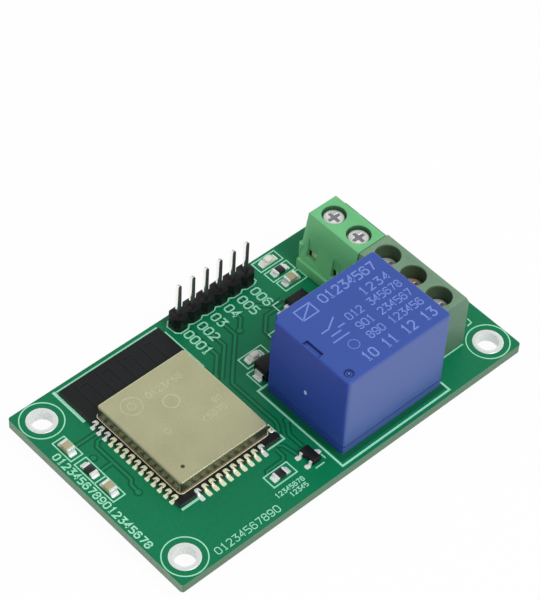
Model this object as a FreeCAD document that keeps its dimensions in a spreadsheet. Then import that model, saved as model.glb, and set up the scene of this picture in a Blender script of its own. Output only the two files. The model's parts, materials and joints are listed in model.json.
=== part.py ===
import FreeCAD, Part

import math
import operator
import os

import Sketcher
from FreeCAD import Rotation, Vector

# A wireless remote switch: a green circuit board that carries a shielded radio module, a
# changeover relay, two screw terminal blocks, a six pin header and small surface mount parts.
#
# Frame, in millimetres: +Z up, +X along the board from the radio module to the terminal blocks,
# +Y across the board to the header. The origin is the centre of the four mounting holes, on the
# underside of the board.
#
# Places on the board are written as its maker would write them: x from the board's left end,
# y from its front edge, z from its top face.

SIZES = {
    # board
    "board_length": 63.7,
    "board_width": 36.5,
    "board_thickness": 1.6,
    "board_corner": 0.5,
    "hole_span_x": 57.0,
    "hole_span_y": 29.8,
    "hole_radius": 1.6,
    "barrel_wall": 0.06,
    "rim_radius": 2.25,
    "rim_height": 0.05,
    "drill_gap": 0.1,
    "tail_length": 1.5,
    "tail_joint_radius": 0.95,
    "tail_joint_height": 0.9,
    # radio module
    "module_left": 8.0,
    "module_front": 9.6,
    "module_width": 18.0,
    "module_length": 25.5,
    "module_thickness": 0.8,
    "joint_pitch": 1.27,
    "joint_first": 1.5,
    "joint_radius": 0.45,
    "joint_reach": 1.0,
    "joint_width": 0.8,
    "joint_height": 0.75,
    "joint_crest_reach": 0.33,
    "joint_crest_width": 0.6,
    "solder_gap": 0.05,
    "shield_width": 15.8,
    "shield_length": 17.6,
    "shield_front": 1.2,
    "shield_height": 2.35,
    "shield_wall": 0.2,
    "shield_corner": 0.5,
    "shield_round": 0.25,
    "lip_reach": 0.2,
    "lip_height": 0.15,
    "processor_side": 6.0,
    "processor_height": 0.85,
    "processor_gap": 0.6,
    "memory_width": 5.2,
    "memory_length": 4.0,
    "memory_height": 0.7,
    "memory_front": 1.6,
    "crystal_width": 3.2,
    "crystal_length": 2.5,
    "crystal_height": 0.75,
    "crystal_gap": 0.7,
    "antenna_line": 0.5,
    "antenna_height": 0.04,
    "antenna_pitch": 1.9,
    "antenna_edge": 0.8,
    "antenna_gap": 0.7,
    # header
    "header_left": 28.86,
    "header_front": 34.18,
    "header_pitch": 2.54,
    "header_depth": 2.5,
    "header_height": 2.54,
    "header_chamfer": 0.62,
    "header_pin": 0.64,
    "header_pin_top": 8.55,
    "header_tip": 0.3,
    "header_tip_width": 0.32,
    "press_gap": 0.02,
    # relay, placed by its centre; its inner pieces are placed from its left end
    "relay_left": 40.24,
    "relay_front": 9.85,
    "relay_length": 19.2,
    "relay_width": 15.4,
    "relay_height": 14.9,
    "relay_wall": 0.8,
    "relay_corner": 0.6,
    "relay_round": 0.35,
    "relay_foot": 0.3,
    "base_flange": 0.4,
    "base_height": 0.9,
    "base_inset": 0.12,
    "base_gap": 0.05,
    "base_foot": 0.8,
    "base_foot_inset": 1.6,
    "recess_width": 3.3,
    "recess_depth": 1.1,
    "recess_sink": 0.35,
    "notch_radius": 0.95,
    "notch_depth": 4.0,
    "dimple_radius": 0.75,
    "dimple_inset_x": 1.35,
    "dimple_inset_y": 1.5,
    "dimple_sink": 0.15,
    "common_pin_x": 2.4,
    "coil_pin_x": 4.4,
    "contact_pin_x": 16.6,
    "side_pin_y": 6.0,
    "flat_pin_thickness": 0.5,
    "flat_pin_width": 1.0,
    "coil_pin_radius": 0.3,
    "coil_pin_rise": 0.8,
    "yoke_back": 1.9,
    "yoke_thickness": 1.0,
    "yoke_width": 8.0,
    "yoke_height": 8.79,
    "yoke_leg": 9.8,
    "core_x": 8.9,
    "core_radius": 1.6,
    "core_gap": 0.05,
    "pole_radius": 3.2,
    "pole_thickness": 0.6,
    "bobbin_height": 6.8,
    "bobbin_tube": 0.55,
    "bobbin_flange": 0.7,
    "bobbin_base_front": 3.3,
    "bobbin_base_back": 14.2,
    "bobbin_base_width": 13.3,
    "bobbin_top_radius": 5.0,
    "coil_radius": 4.6,
    "coil_gap": 0.05,
    "armature_gap": 0.03,
    "armature_thickness": 1.0,
    "armature_back": 2.0,
    "armature_front": 12.2,
    "leaf_thickness": 0.18,
    "leaf_width": 2.4,
    "leaf_start": 4.0,
    "leaf_end": 16.25,
    "contact_x": 15.6,
    "contact_radius": 0.9,
    "contact_button": 0.4,
    "fixed_button": 0.28,
    "closed_gap": 0.02,
    "open_gap": 0.64,
    "blade_thickness": 0.5,
    "blade_shelf": 0.4,
    "blade_split": 1.2,
    "blade_gap": 0.6,
    "spring_foot": 4.0,
    "spring_lift": 0.05,
    "spring_gap": 0.1,
    # terminal blocks; x is the row of screws, y the block's middle
    "pole_pitch": 5.08,
    "ledge_height": 1.9,
    "ledge_step": 0.4,
    "nose_bulge": 0.7,
    "nose_drop": 1.35,
    "shank_radius": 1.2,
    "shank_bore_gap": 0.15,
    "thread_gap": 0.05,
    "thread_pitch": 0.45,
    "head_gap": 0.15,
    "shoulder_gap": 0.03,
    "head_slot": 0.55,
    "head_slot_depth": 0.6,
    "head_slot_edge": 0.65,
    "head_chamfer": 0.25,
    "cage_depth": 3.8,
    "cage_width": 3.8,
    "cage_wall": 0.55,
    "cage_lift": 0.4,
    "cage_gap": 0.12,
    "cage_stop": 0.1,
    "bar_thickness": 0.6,
    "bar_width": 2.0,
    "bar_front": 1.5,
    "bar_gap": 0.2,
    "bar_back": 2.9,
    "bar_foot": 0.6,
    "bar_pin_width": 1.0,
    "mouth_width": 3.2,
    "mouth_sill": 1.0,
    "peep_width": 2.0,
    "peep_height": 3.4,
    "peep_drop": 1.3,
    "peep_offset": 0.35,
    "key_radius": 0.45,
    "key_low": 2.2,
    "key_high": 4.6,
    "key_back": 3.4,
    "supply_left": 53.6,
    "supply_front": 26.43,
    "supply_height": 10.2,
    "supply_end_wall": 0.0,
    "supply_top_back": 2.55,
    "supply_top_front": 2.6,
    "supply_slope_foot": 4.0,
    "supply_well_radius": 1.85,
    "supply_head_sink": 0.6,
    "supply_head_height": 1.05,
    "supply_ceiling": 2.05,
    "supply_cage_height": 4.4,
    "load_left": 54.05,
    "load_front": 13.35,
    "load_height": 10.2,
    "load_end_wall": 0.2,
    "load_top_back": 2.9,
    "load_top_front": 2.9,
    "load_slope_foot": 3.5,
    "load_well_radius": 1.95,
    "load_head_sink": 2.4,
    "load_head_height": 0.95,
    "load_ceiling": 1.75,
    "load_cage_height": 3.6,
    # chips and other surface mount parts
    "chip_length": 2.0,
    "chip_width": 1.25,
    "chip_end": 0.4,
    "resistor_height": 0.5,
    "capacitor_height": 1.0,
    "chip_solder_reach": 0.55,
    "chip_solder_height": 0.35,
    "chip_solder_crest": 0.14,
    "led_base_height": 0.35,
    "led_lens_length": 1.25,
    "led_lens_width": 1.1,
    "led_lens_height": 0.5,
    "led_lens_round": 0.3,
    "lead_thickness": 0.15,
    "transistor_left": 27.05,
    "transistor_front": 4.65,
    "transistor_width": 1.5,
    "transistor_length": 2.9,
    "transistor_height": 1.1,
    "transistor_lead_width": 0.45,
    "transistor_lead_pitch": 1.9,
    "transistor_lead_reach": 0.75,
    "transistor_lead_knee": 0.3,
    "diode_left": 33.35,
    "diode_front": 19.55,
    "diode_length": 4.3,
    "diode_width": 2.7,
    "diode_height": 2.2,
    "diode_lead_width": 1.5,
    "diode_lead_reach": 0.7,
    "diode_lead_knee": 0.28,
    "regulator_left": 44.5,
    "regulator_front": 23.85,
    "regulator_width": 3.5,
    "regulator_length": 6.5,
    "regulator_height": 1.65,
    "regulator_lead_width": 0.7,
    "regulator_lead_pitch": 2.3,
    "regulator_lead_reach": 1.5,
    "regulator_lead_knee": 0.6,
    "regulator_tab_width": 3.0,
    "package_taper": 0.12,
    "package_lift": 0.08,
}

HEADER_PINS = 6
SIDE_JOINTS = 14
FRONT_JOINTS = 10
SUPPLY_POLES = 2
LOAD_POLES = 3
ANTENNA_TURNS = 4
REGULATOR_LEADS = 3

doc = FreeCAD.newDocument("wireless_remote_switch")
sheet = doc.addObject("Spreadsheet::Sheet", "Sizes")
for row, (alias, number) in enumerate(SIZES.items(), 1):
    sheet.set(f"A{row}", alias)
    sheet.set(f"B{row}", str(number))
    sheet.setAlias(f"B{row}", alias)
doc.recompute()

NODES = []


class Size:
    """A length that holds both its value and the sheet expression that gives it."""

    def __init__(self, value, text):
        self.value = value
        self.text = text

    def __add__(self, other):
        return joined(self, other, operator.add, "+")

    def __radd__(self, other):
        return joined(other, self, operator.add, "+")

    def __sub__(self, other):
        return joined(self, other, operator.sub, "-")

    def __rsub__(self, other):
        return joined(other, self, operator.sub, "-")

    def __mul__(self, other):
        return joined(self, other, operator.mul, "*")

    def __rmul__(self, other):
        return joined(other, self, operator.mul, "*")

    def __truediv__(self, other):
        return joined(self, other, operator.truediv, "/")

    def __neg__(self):
        return joined(0, self, operator.sub, "-")


def as_size(item):
    if isinstance(item, Size):
        return item
    return Size(float(item), f"({float(item)})")


def joined(first, second, action, sign):
    first = as_size(first)
    second = as_size(second)
    return Size(action(first.value, second.value), f"({first.text} {sign} {second.text})")


class Cells:
    """The sheet's cells by alias; a prefix picks one terminal block's own cells."""

    def __init__(self, prefix=""):
        self.prefix = prefix

    def __getattr__(self, name):
        alias = self.prefix + name
        return Size(SIZES[alias], f"Sizes.{alias}")


s = Cells()
board_top = s.board_thickness


def from_left(x):
    return x - s.board_length / 2


def from_front(y):
    return y - s.board_width / 2


def above_board(z):
    return board_top + z


def span(middle, length):
    return middle - length / 2, middle + length / 2


def half_diagonal(width, depth):
    return Size(math.hypot(width.value, depth.value) / 2,
                f"(sqrt({width.text}^2 + {depth.text}^2) / 2)")


# Document objects whose sizes follow the sheet

def bind(thing, prop, size):
    """Set a property and keep it tied to the sheet."""
    size = as_size(size)
    if "." not in prop:
        setattr(thing, prop, size.value)
    thing.setExpression(prop, size.text)


def place(thing, x, y, z):
    bind(thing, "Placement.Base.x", x)
    bind(thing, "Placement.Base.y", y)
    bind(thing, "Placement.Base.z", z)


def block(x, y, z):
    """A box; x, y and z are each a pair of ends."""
    thing = doc.addObject("Part::Box", "Block")
    for prop, (low, high) in (("Length", x), ("Width", y), ("Height", z)):
        bind(thing, prop, as_size(high) - low)
    place(thing, x[0], y[0], z[0])
    return thing


def rod(x, y, z, radius):
    """An upright cylinder between the two heights in z."""
    thing = doc.addObject("Part::Cylinder", "Rod")
    bind(thing, "Radius", radius)
    bind(thing, "Height", as_size(z[1]) - z[0])
    place(thing, x, y, z[0])
    return thing


def cone(x, y, z, low_radius, high_radius):
    thing = doc.addObject("Part::Cone", "Cone")
    bind(thing, "Radius1", low_radius)
    bind(thing, "Radius2", high_radius)
    bind(thing, "Height", as_size(z[1]) - z[0])
    place(thing, x, y, z[0])
    return thing


def frustum(z, low_x, low_y, high_x, high_y):
    """A block whose foot and top are different rectangles, such as a fillet of solder."""
    thing = doc.addObject("Part::Wedge", "Frustum")
    thing.Placement.Rotation = Rotation(Vector(1, 0, 0), 90)
    ends = {
        "Xmin": low_x[0], "Xmax": low_x[1], "X2min": high_x[0], "X2max": high_x[1],
        "Zmin": -low_y[1], "Zmax": -low_y[0], "Z2min": -high_y[1], "Z2max": -high_y[0],
        "Ymin": z[0], "Ymax": z[1],
    }
    for prop, size in ends.items():
        bind(thing, prop, size)
    return thing


def fuse(*things):
    if len(things) == 1:
        return things[0]
    thing = doc.addObject("Part::MultiFuse", "Fusion")
    thing.Shapes = list(things)
    thing.Refine = True
    return thing


def cut(base, *tools):
    thing = doc.addObject("Part::Cut", "Cut")
    thing.Base = base
    thing.Tool = fuse(*tools)
    return thing


def group(things):
    """Separate solids that share one node."""
    thing = doc.addObject("Part::Compound", "Group")
    thing.Links = list(things)
    return thing


def node(thing, label):
    thing.Label = label
    NODES.append(thing)
    return thing


# Bodies with sketches

def new_body(label, x, y, z):
    thing = node(doc.addObject("PartDesign::Body", "Body"), label)
    place(thing, x, y, z)
    return thing


def sketch(owner, role, offset=0):
    """A sketch on one of the body's own origin planes, moved along the plane's normal."""
    plane = next(item for item in owner.Origin.OriginFeatures if item.Role == role)
    drawing = owner.newObject("Sketcher::SketchObject", "Sketch")
    drawing.AttachmentSupport = [(plane, "")]
    drawing.MapMode = "FlatFace"
    bind(drawing, "AttachmentOffset.Base.z", offset)
    return drawing


def fix_point(drawing, item, point, x, y):
    for kind, size in (("DistanceX", as_size(x)), ("DistanceY", as_size(y))):
        rule = Sketcher.Constraint(kind, -1, 1, item, point, size.value)
        index = drawing.addConstraint(rule)
        drawing.setExpression(f"Constraints[{index}]", size.text)


def polygon(drawing, corners):
    """A closed outline with every corner tied to the sheet."""
    first = drawing.GeometryCount
    count = len(corners)
    points = [Vector(as_size(x).value, as_size(y).value, 0) for x, y in corners]
    for start, end in zip(points, points[1:] + points[:1]):
        drawing.addGeometry(Part.LineSegment(start, end), False)
    for index, (x, y) in enumerate(corners):
        before = first + (index - 1) % count
        drawing.addConstraint(Sketcher.Constraint("Coincident", before, 2, first + index, 1))
        fix_point(drawing, first + index, 1, x, y)


def rectangle(drawing, x, y):
    polygon(drawing, [(x[0], y[0]), (x[1], y[0]), (x[1], y[1]), (x[0], y[1])])


def circle(drawing, x, y, radius):
    centre = Vector(as_size(x).value, as_size(y).value, 0)
    item = drawing.addGeometry(Part.Circle(centre, Vector(0, 0, 1), radius.value), False)
    index = drawing.addConstraint(Sketcher.Constraint("Radius", item, radius.value))
    drawing.setExpression(f"Constraints[{index}]", radius.text)
    fix_point(drawing, item, 3, x, y)


def swept(owner, kind, drawing, length, reverse):
    feature = owner.newObject(f"PartDesign::{kind}", kind)
    feature.Profile = drawing
    feature.Reversed = reverse
    bind(feature, "Length", length)
    return feature


def pad(owner, drawing, length, reverse=False):
    return swept(owner, "Pad", drawing, length, reverse)


def pocket(owner, drawing, length, reverse=False):
    return swept(owner, "Pocket", drawing, length, reverse)


def turned(owner, drawing):
    """Turn a half outline about the sketch's upright axis."""
    feature = owner.newObject("PartDesign::Revolution", "Revolution")
    feature.Profile = drawing
    feature.ReferenceAxis = (drawing, ["V_Axis"])
    feature.Angle = 360
    return feature


def dress(owner, kind, prop, size, wanted):
    """Fillet or chamfer the edges of the body so far that wanted() picks."""
    doc.recompute()
    tip = owner.Tip
    names = [f"Edge{i}" for i, edge in enumerate(tip.Shape.Edges, 1) if wanted(edge)]
    feature = owner.newObject(f"PartDesign::{kind}", kind)
    feature.Base = (tip, names)
    bind(feature, prop, size)
    return feature


def upright(edge):
    ends = [vertex.Point for vertex in edge.Vertexes]
    return len(ends) == 2 and abs((ends[0] - ends[1]).normalize().z) > 0.99


def at_height(edge, height):
    box = edge.BoundBox
    return abs(box.ZMin - height) < 1e-4 and abs(box.ZMax - height) < 1e-4


# Board

# A pin's section is either its radius alone or its widths along X and Y
HEADER_PIN = (s.header_pin, s.header_pin)
FLAT_PIN = (s.flat_pin_thickness, s.flat_pin_width)
COIL_PIN = (s.coil_pin_radius,)
BAR_PIN = (s.bar_thickness, s.bar_pin_width)


def pin_reach(section):
    return section[0] if len(section) == 1 else half_diagonal(*section)


def pin_solid(x, y, z, section, gap=0):
    """A straight pin, or the hole for one with a gap all round."""
    if len(section) == 1:
        return rod(x, y, z, section[0] + gap)
    width, depth = section
    return block(span(x, width + 2 * gap), span(y, depth + 2 * gap), z)


def header_pin_x(index):
    return from_left(s.header_left) + index * s.header_pitch


header_y = from_front(s.header_front)
relay_x = from_left(s.relay_left)
relay_y = from_front(s.relay_front)


def in_relay(x):
    """X in the row frame of a place measured from the relay's left end."""
    return relay_x - s.relay_length / 2 + x


def relay_side_y(side):
    return relay_y + side * s.side_pin_y


def relay_pin_places():
    """The relay's five pins as x, y and section."""
    places = [(in_relay(s.common_pin_x), relay_y, FLAT_PIN)]
    for side in (-1, 1):
        places.append((in_relay(s.coil_pin_x), relay_side_y(side), COIL_PIN))
        places.append((in_relay(s.contact_pin_x), relay_side_y(side), FLAT_PIN))
    return places


def header_pin_places():
    return [(header_pin_x(index), header_y, HEADER_PIN) for index in range(HEADER_PINS)]


def pole_y(t, poles, index):
    return from_front(t.front) + (index - (poles - 1) / 2) * s.pole_pitch


def bar_pin_x(t):
    return from_left(t.left) - s.bar_back + s.bar_thickness / 2


def terminal_pin_places(t, poles):
    return [(bar_pin_x(t), pole_y(t, poles, index), BAR_PIN) for index in range(poles)]


supply = Cells("supply_")
load = Cells("load_")
ALL_PINS = (header_pin_places() + relay_pin_places()
            + terminal_pin_places(supply, SUPPLY_POLES) + terminal_pin_places(load, LOAD_POLES))


def mounting_holes():
    return [(sx * s.hole_span_x / 2, sy * s.hole_span_y / 2) for sx in (-1, 1) for sy in (-1, 1)]


def circuit_board():
    board = new_body("circuit_board", 0, 0, 0)
    outline = sketch(board, "XY_Plane")
    rectangle(outline, span(0, s.board_length), span(0, s.board_width))
    pad(board, outline, s.board_thickness)
    dress(board, "Fillet", "Radius", s.board_corner, upright)
    drilling = sketch(board, "XY_Plane", s.board_thickness)
    for x, y in mounting_holes():
        circle(drilling, x, y, s.hole_radius + s.barrel_wall)
    for x, y, section in ALL_PINS:
        circle(drilling, x, y, pin_reach(section) + s.drill_gap)
    pocket(board, drilling, s.board_thickness)


def mounting_hole_rims():
    """Tinned barrels with a flat ring on each face of the board."""
    rims = []
    whole = (-s.rim_height, s.board_thickness + s.rim_height)
    for x, y in mounting_holes():
        barrel = rod(x, y, whole, s.hole_radius + s.barrel_wall)
        lower = rod(x, y, (-s.rim_height, 0), s.rim_radius)
        upper = rod(x, y, (s.board_thickness, whole[1]), s.rim_radius)
        bore = rod(x, y, whole, s.hole_radius)
        rims.append(cut(fuse(barrel, lower, upper), bore))
    node(group(rims), "mounting_hole_rims")


def tail_joints():
    """Cones of solder round the pins under the board."""
    joints = []
    z = (-s.tail_joint_height, 0)
    for x, y, section in ALL_PINS:
        solder = cone(x, y, z, pin_reach(section) + s.solder_gap, s.tail_joint_radius)
        joints.append(cut(solder, pin_solid(x, y, z, section)))
    node(group(joints), "tail_solder_joints")


# Radio module

module_left = from_left(s.module_left)
module_front = from_front(s.module_front)
module_x = (module_left, module_left + s.module_width)
module_y = (module_front, module_front + s.module_length)
module_middle = module_left + s.module_width / 2
module_top = board_top + s.module_thickness


def module_edge_places():
    """Each soldered edge contact as x, y and the way that it faces."""
    places = []
    for index in range(SIDE_JOINTS):
        y = module_front + s.joint_first + index * s.joint_pitch
        places.append((module_x[0], y, (-1, 0)))
        places.append((module_x[1], y, (1, 0)))
    for index in range(FRONT_JOINTS):
        x = module_middle + (index - (FRONT_JOINTS - 1) / 2) * s.joint_pitch
        places.append((x, module_front, (0, -1)))
    return places


def module_board():
    z = (board_top, module_top)
    notches = [rod(x, y, z, s.joint_radius) for x, y, way in module_edge_places()]
    node(cut(block(module_x, module_y, z), *notches), "module_board")


def outward(place, way, near, far):
    """A pair of ends that runs from near to far, away from the module's edge."""
    ends = (place + way * near, place + way * far)
    return ends if way > 0 else ends[::-1]


def module_solder_joints():
    joints = []
    for x, y, (way_x, way_y) in module_edge_places():
        if way_x:
            low = (outward(x, way_x, 0, s.joint_reach), span(y, s.joint_width))
            high = (outward(x, way_x, 0, s.joint_crest_reach), span(y, s.joint_crest_width))
        else:
            low = (span(x, s.joint_width), outward(y, way_y, 0, s.joint_reach))
            high = (span(x, s.joint_crest_width), outward(y, way_y, 0, s.joint_crest_reach))
        fillet = frustum((board_top, above_board(s.joint_height)), low[0], low[1], high[0], high[1])
        filling = rod(x, y, (board_top, module_top), s.joint_radius - s.solder_gap)
        joints.append(fuse(fillet, filling))
    node(group(joints), "module_solder_joints")


shield_front = module_front + s.shield_front
shield_back = shield_front + s.shield_length


def module_shield():
    """A drawn metal can with a thin soldered lip round its foot, open underneath."""
    middle_y = shield_front + s.shield_length / 2
    can = new_body("module_shield", module_middle, middle_y, module_top)
    half_x = s.shield_width / 2
    half_y = s.shield_length / 2
    walls = sketch(can, "XY_Plane")
    rectangle(walls, (-half_x, half_x), (-half_y, half_y))
    pad(can, walls, s.shield_height)
    dress(can, "Fillet", "Radius", s.shield_corner, upright)
    dress(can, "Fillet", "Radius", s.shield_round,
          lambda edge: at_height(edge, s.shield_height.value))
    lip = sketch(can, "XY_Plane")
    rectangle(lip, (-half_x - s.lip_reach, half_x + s.lip_reach),
              (-half_y - s.lip_reach, half_y + s.lip_reach))
    pad(can, lip, s.lip_height)
    dress(can, "Fillet", "Radius", s.shield_corner + s.lip_reach,
          lambda edge: upright(edge) and edge.BoundBox.ZMax < 2 * s.lip_height.value)
    hollow = sketch(can, "XY_Plane")
    rectangle(hollow, (-half_x + s.shield_wall, half_x - s.shield_wall),
              (-half_y + s.shield_wall, half_y - s.shield_wall))
    pocket(can, hollow, s.shield_height - s.shield_wall, reverse=True)


def module_chips():
    """The crystal stands next to the shield's back wall, the processor in front of it."""
    crystal_back = shield_back - s.shield_wall - s.crystal_gap
    crystal_front = crystal_back - s.crystal_length
    processor_back = crystal_front - s.processor_gap
    memory_front = shield_front + s.memory_front
    for label, width, y, height in (
        ("module_processor", s.processor_side, (processor_back - s.processor_side, processor_back),
         s.processor_height),
        ("module_memory", s.memory_width, (memory_front, memory_front + s.memory_length),
         s.memory_height),
        ("module_crystal", s.crystal_width, (crystal_front, crystal_back), s.crystal_height),
    ):
        node(block(span(module_middle, width), y, (module_top, module_top + height)), label)


def module_antenna():
    """A flat metal line that winds to and fro on the bare end of the module."""
    z = (module_top, module_top + s.antenna_height)
    far = module_y[1] - s.antenna_edge
    near = shield_back + s.lip_reach + s.antenna_gap
    half = s.antenna_line / 2
    strips = []
    count = 2 * ANTENNA_TURNS
    first = module_middle - s.antenna_pitch * (count - 1) / 2
    for index in range(count):
        x = first + index * s.antenna_pitch
        strips.append(block((x - half, x + half), (near, far), z))
        if index:
            edge = far if index % 2 else near + s.antenna_line
            link = (x - s.antenna_pitch - half, x + half)
            strips.append(block(link, (edge - s.antenna_line, edge), z))
    node(fuse(*strips), "module_antenna")


# Header

def header_body():
    """Six linked eight sided posts, each bored for its pin."""
    body = new_body("header_body", header_pin_x(0), header_y, board_top)
    half = s.header_depth / 2
    notch = s.header_chamfer
    pitch = s.header_pitch
    front = []
    back = []
    for index in range(HEADER_PINS):
        left = (index - 0.5) * pitch
        right = (index + 0.5) * pitch
        front += [(left, -half + notch), (left + notch, -half)]
        front += [(right - notch, -half)]
        back = [(left, half - notch), (left + notch, half), (right - notch, half)][::-1] + back
    end = (HEADER_PINS - 0.5) * pitch
    outline = sketch(body, "XY_Plane")
    polygon(outline, front + [(end, -half + notch), (end, half - notch)] + back)
    pad(body, outline, s.header_height)
    holes = sketch(body, "XY_Plane", s.header_height)
    for index in range(HEADER_PINS):
        side = s.header_pin + 2 * s.press_gap
        rectangle(holes, span(index * pitch, side), span(0, side))
    pocket(body, holes, s.header_height)


def header_pins():
    pins = []
    low = -s.tail_length
    high = above_board(s.header_pin_top)
    for index in range(HEADER_PINS):
        x = header_pin_x(index)
        wide = (span(x, s.header_pin), span(header_y, s.header_pin))
        thin = (span(x, s.header_tip_width), span(header_y, s.header_tip_width))
        shaft = block(wide[0], wide[1], (low + s.header_tip, high - s.header_tip))
        top = frustum((high - s.header_tip, high), wide[0], wide[1], thin[0], thin[1])
        foot = frustum((low, low + s.header_tip), thin[0], thin[1], wide[0], wide[1])
        pins.append(fuse(shaft, top, foot))
    node(group(pins), "header_pins")


# Relay

base_low = above_board(s.relay_foot)
cover_low = base_low + s.base_flange
base_top = cover_low + s.base_height
relay_top = above_board(s.relay_height)
relay_ends = (in_relay(0), in_relay(s.relay_length))
relay_sides = span(relay_y, s.relay_width)
bobbin_low = base_top + s.yoke_thickness
bobbin_top = bobbin_low + s.bobbin_height
yoke_top = base_top + s.yoke_height
hinge_x = in_relay(s.yoke_back + s.yoke_thickness)
armature_low = yoke_top + s.armature_gap
armature_top = armature_low + s.armature_thickness
leaf_top = armature_top + s.leaf_thickness
core_x = in_relay(s.core_x)
contact_x = in_relay(s.contact_x)


def relay_cover():
    cover = new_body("relay_cover", relay_x, relay_y, cover_low)
    half_x = s.relay_length / 2
    half_y = s.relay_width / 2
    height = relay_top - cover_low
    outline = sketch(cover, "XY_Plane")
    rectangle(outline, (-half_x, half_x), (-half_y, half_y))
    pad(cover, outline, height)
    dress(cover, "Fillet", "Radius", s.relay_corner, upright)
    dress(cover, "Fillet", "Radius", s.relay_round, lambda edge: at_height(edge, height.value))
    hollow = sketch(cover, "XY_Plane")
    rectangle(hollow, (-half_x + s.relay_wall, half_x - s.relay_wall),
              (-half_y + s.relay_wall, half_y - s.relay_wall))
    pocket(cover, hollow, height - s.relay_wall, reverse=True)
    recess = sketch(cover, "XY_Plane", height)
    rectangle(recess, (-half_x, -half_x + s.recess_depth), span(0, s.recess_width))
    pocket(cover, recess, s.recess_sink)
    notch = sketch(cover, "XY_Plane", height)
    circle(notch, -half_x, half_y, s.notch_radius)
    pocket(cover, notch, s.notch_depth)
    dimple = sketch(cover, "XY_Plane", height)
    circle(dimple, -half_x + s.dimple_inset_x, -half_y + s.dimple_inset_y, s.dimple_radius)
    pocket(cover, dimple, s.dimple_sink)


def relay_base():
    """The floor of the relay, on four feet, slotted for the pins."""
    flange = block((relay_ends[0] + s.base_inset, relay_ends[1] - s.base_inset),
                   (relay_sides[0] + s.base_inset, relay_sides[1] - s.base_inset),
                   (base_low, cover_low))
    inset = s.relay_wall + s.base_gap
    plug = block((relay_ends[0] + inset, relay_ends[1] - inset),
                 (relay_sides[0] + inset, relay_sides[1] - inset), (cover_low, base_top))
    feet = []
    for side_x in (-1, 1):
        for side_y in (-1, 1):
            x = relay_x + side_x * (s.relay_length / 2 - s.base_foot_inset)
            y = relay_y + side_y * (s.relay_width / 2 - s.base_foot_inset)
            feet.append(block(span(x, s.base_foot), span(y, s.base_foot), (board_top, base_low)))
    z = (board_top, base_top)
    slots = [pin_solid(x, y, z, section, s.base_gap) for x, y, section in relay_pin_places()]
    node(cut(fuse(flange, plug, *feet), *slots), "relay_base")


def relay_yoke():
    """An L of soft iron: a leg under the coil and a back that carries the armature."""
    yoke = new_body("relay_yoke", in_relay(s.yoke_back), relay_y, base_top)
    profile = sketch(yoke, "XZ_Plane", -s.yoke_width / 2)
    thick = s.yoke_thickness
    polygon(profile, [(0, 0), (s.yoke_leg, 0), (s.yoke_leg, thick), (thick, thick),
                      (thick, s.yoke_height), (0, s.yoke_height)])
    pad(yoke, profile, s.yoke_width)
    hole = sketch(yoke, "XY_Plane", thick)
    circle(hole, s.core_x - s.yoke_back, 0, s.core_radius + s.core_gap)
    pocket(yoke, hole, thick)


def relay_core():
    """The iron core, with its wide pole on top and its foot in the yoke."""
    core = new_body("relay_core", core_x, relay_y, base_top)
    height = bobbin_top - base_top
    profile = sketch(core, "XZ_Plane")
    top = height + s.pole_thickness
    polygon(profile, [(0, 0), (s.core_radius, 0), (s.core_radius, height),
                      (s.pole_radius, height), (s.pole_radius, top), (0, top)])
    turned(core, profile)


def relay_bobbin():
    tube_radius = s.core_radius + s.core_gap + s.bobbin_tube
    tube = rod(core_x, relay_y, (bobbin_low, bobbin_top), tube_radius)
    foot = block((in_relay(s.bobbin_base_front), in_relay(s.bobbin_base_back)),
                 span(relay_y, s.bobbin_base_width), (bobbin_low, bobbin_low + s.bobbin_flange))
    head = rod(core_x, relay_y, (bobbin_top - s.bobbin_flange, bobbin_top), s.bobbin_top_radius)
    holes = [rod(core_x, relay_y, (bobbin_low, bobbin_top), s.core_radius + s.core_gap)]
    for side in (-1, 1):
        holes.append(pin_solid(in_relay(s.coil_pin_x), relay_side_y(side),
                               (bobbin_low, bobbin_top), COIL_PIN, s.base_gap))
    node(cut(fuse(tube, foot, head), *holes), "relay_bobbin")


def relay_coil():
    low = bobbin_low + s.bobbin_flange + s.coil_gap
    high = bobbin_top - s.bobbin_flange - s.coil_gap
    inner = s.core_radius + s.core_gap + s.bobbin_tube + s.coil_gap
    winding = rod(core_x, relay_y, (low, high), s.coil_radius)
    node(cut(winding, rod(core_x, relay_y, (low, high), inner)), "relay_coil")


def relay_pins_up():
    """The coil's two round pins and the flat common pin under the yoke."""
    high = bobbin_low + s.bobbin_flange + s.coil_pin_rise
    pins = [pin_solid(in_relay(s.coil_pin_x), relay_side_y(side), (-s.tail_length, high), COIL_PIN)
            for side in (-1, 1)]
    node(group(pins), "relay_coil_pins")
    node(pin_solid(in_relay(s.common_pin_x), relay_y, (-s.tail_length, base_top), FLAT_PIN),
         "relay_common_pin")


def relay_armature():
    plate = block((in_relay(s.armature_back), in_relay(s.armature_front)),
                  span(relay_y, s.yoke_width), (armature_low, armature_top))
    node(plate, "relay_armature")


def relay_contact_leaf():
    leaf = block((in_relay(s.leaf_start), in_relay(s.leaf_end)), span(relay_y, s.leaf_width),
                 (armature_top, leaf_top))
    node(leaf, "relay_contact_leaf")
    buttons = [
        rod(contact_x, relay_y, (leaf_top, leaf_top + s.contact_button), s.contact_radius),
        rod(contact_x, relay_y, (armature_top - s.contact_button, armature_top), s.contact_radius),
    ]
    node(group(buttons), "relay_moving_contact")


def relay_return_spring():
    """The bent end of the leaf: up the yoke's back and over the armature's hinge."""
    back = in_relay(s.yoke_back) - s.leaf_thickness
    low = armature_top + s.spring_lift
    high = low + s.leaf_thickness
    y = span(relay_y, s.leaf_width)
    riser = block((back, in_relay(s.yoke_back)), y, (base_top + s.spring_foot, high))
    arm = block((back, in_relay(s.leaf_start) - s.spring_gap), y, (low, high))
    node(fuse(riser, arm), "relay_return_spring")


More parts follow.
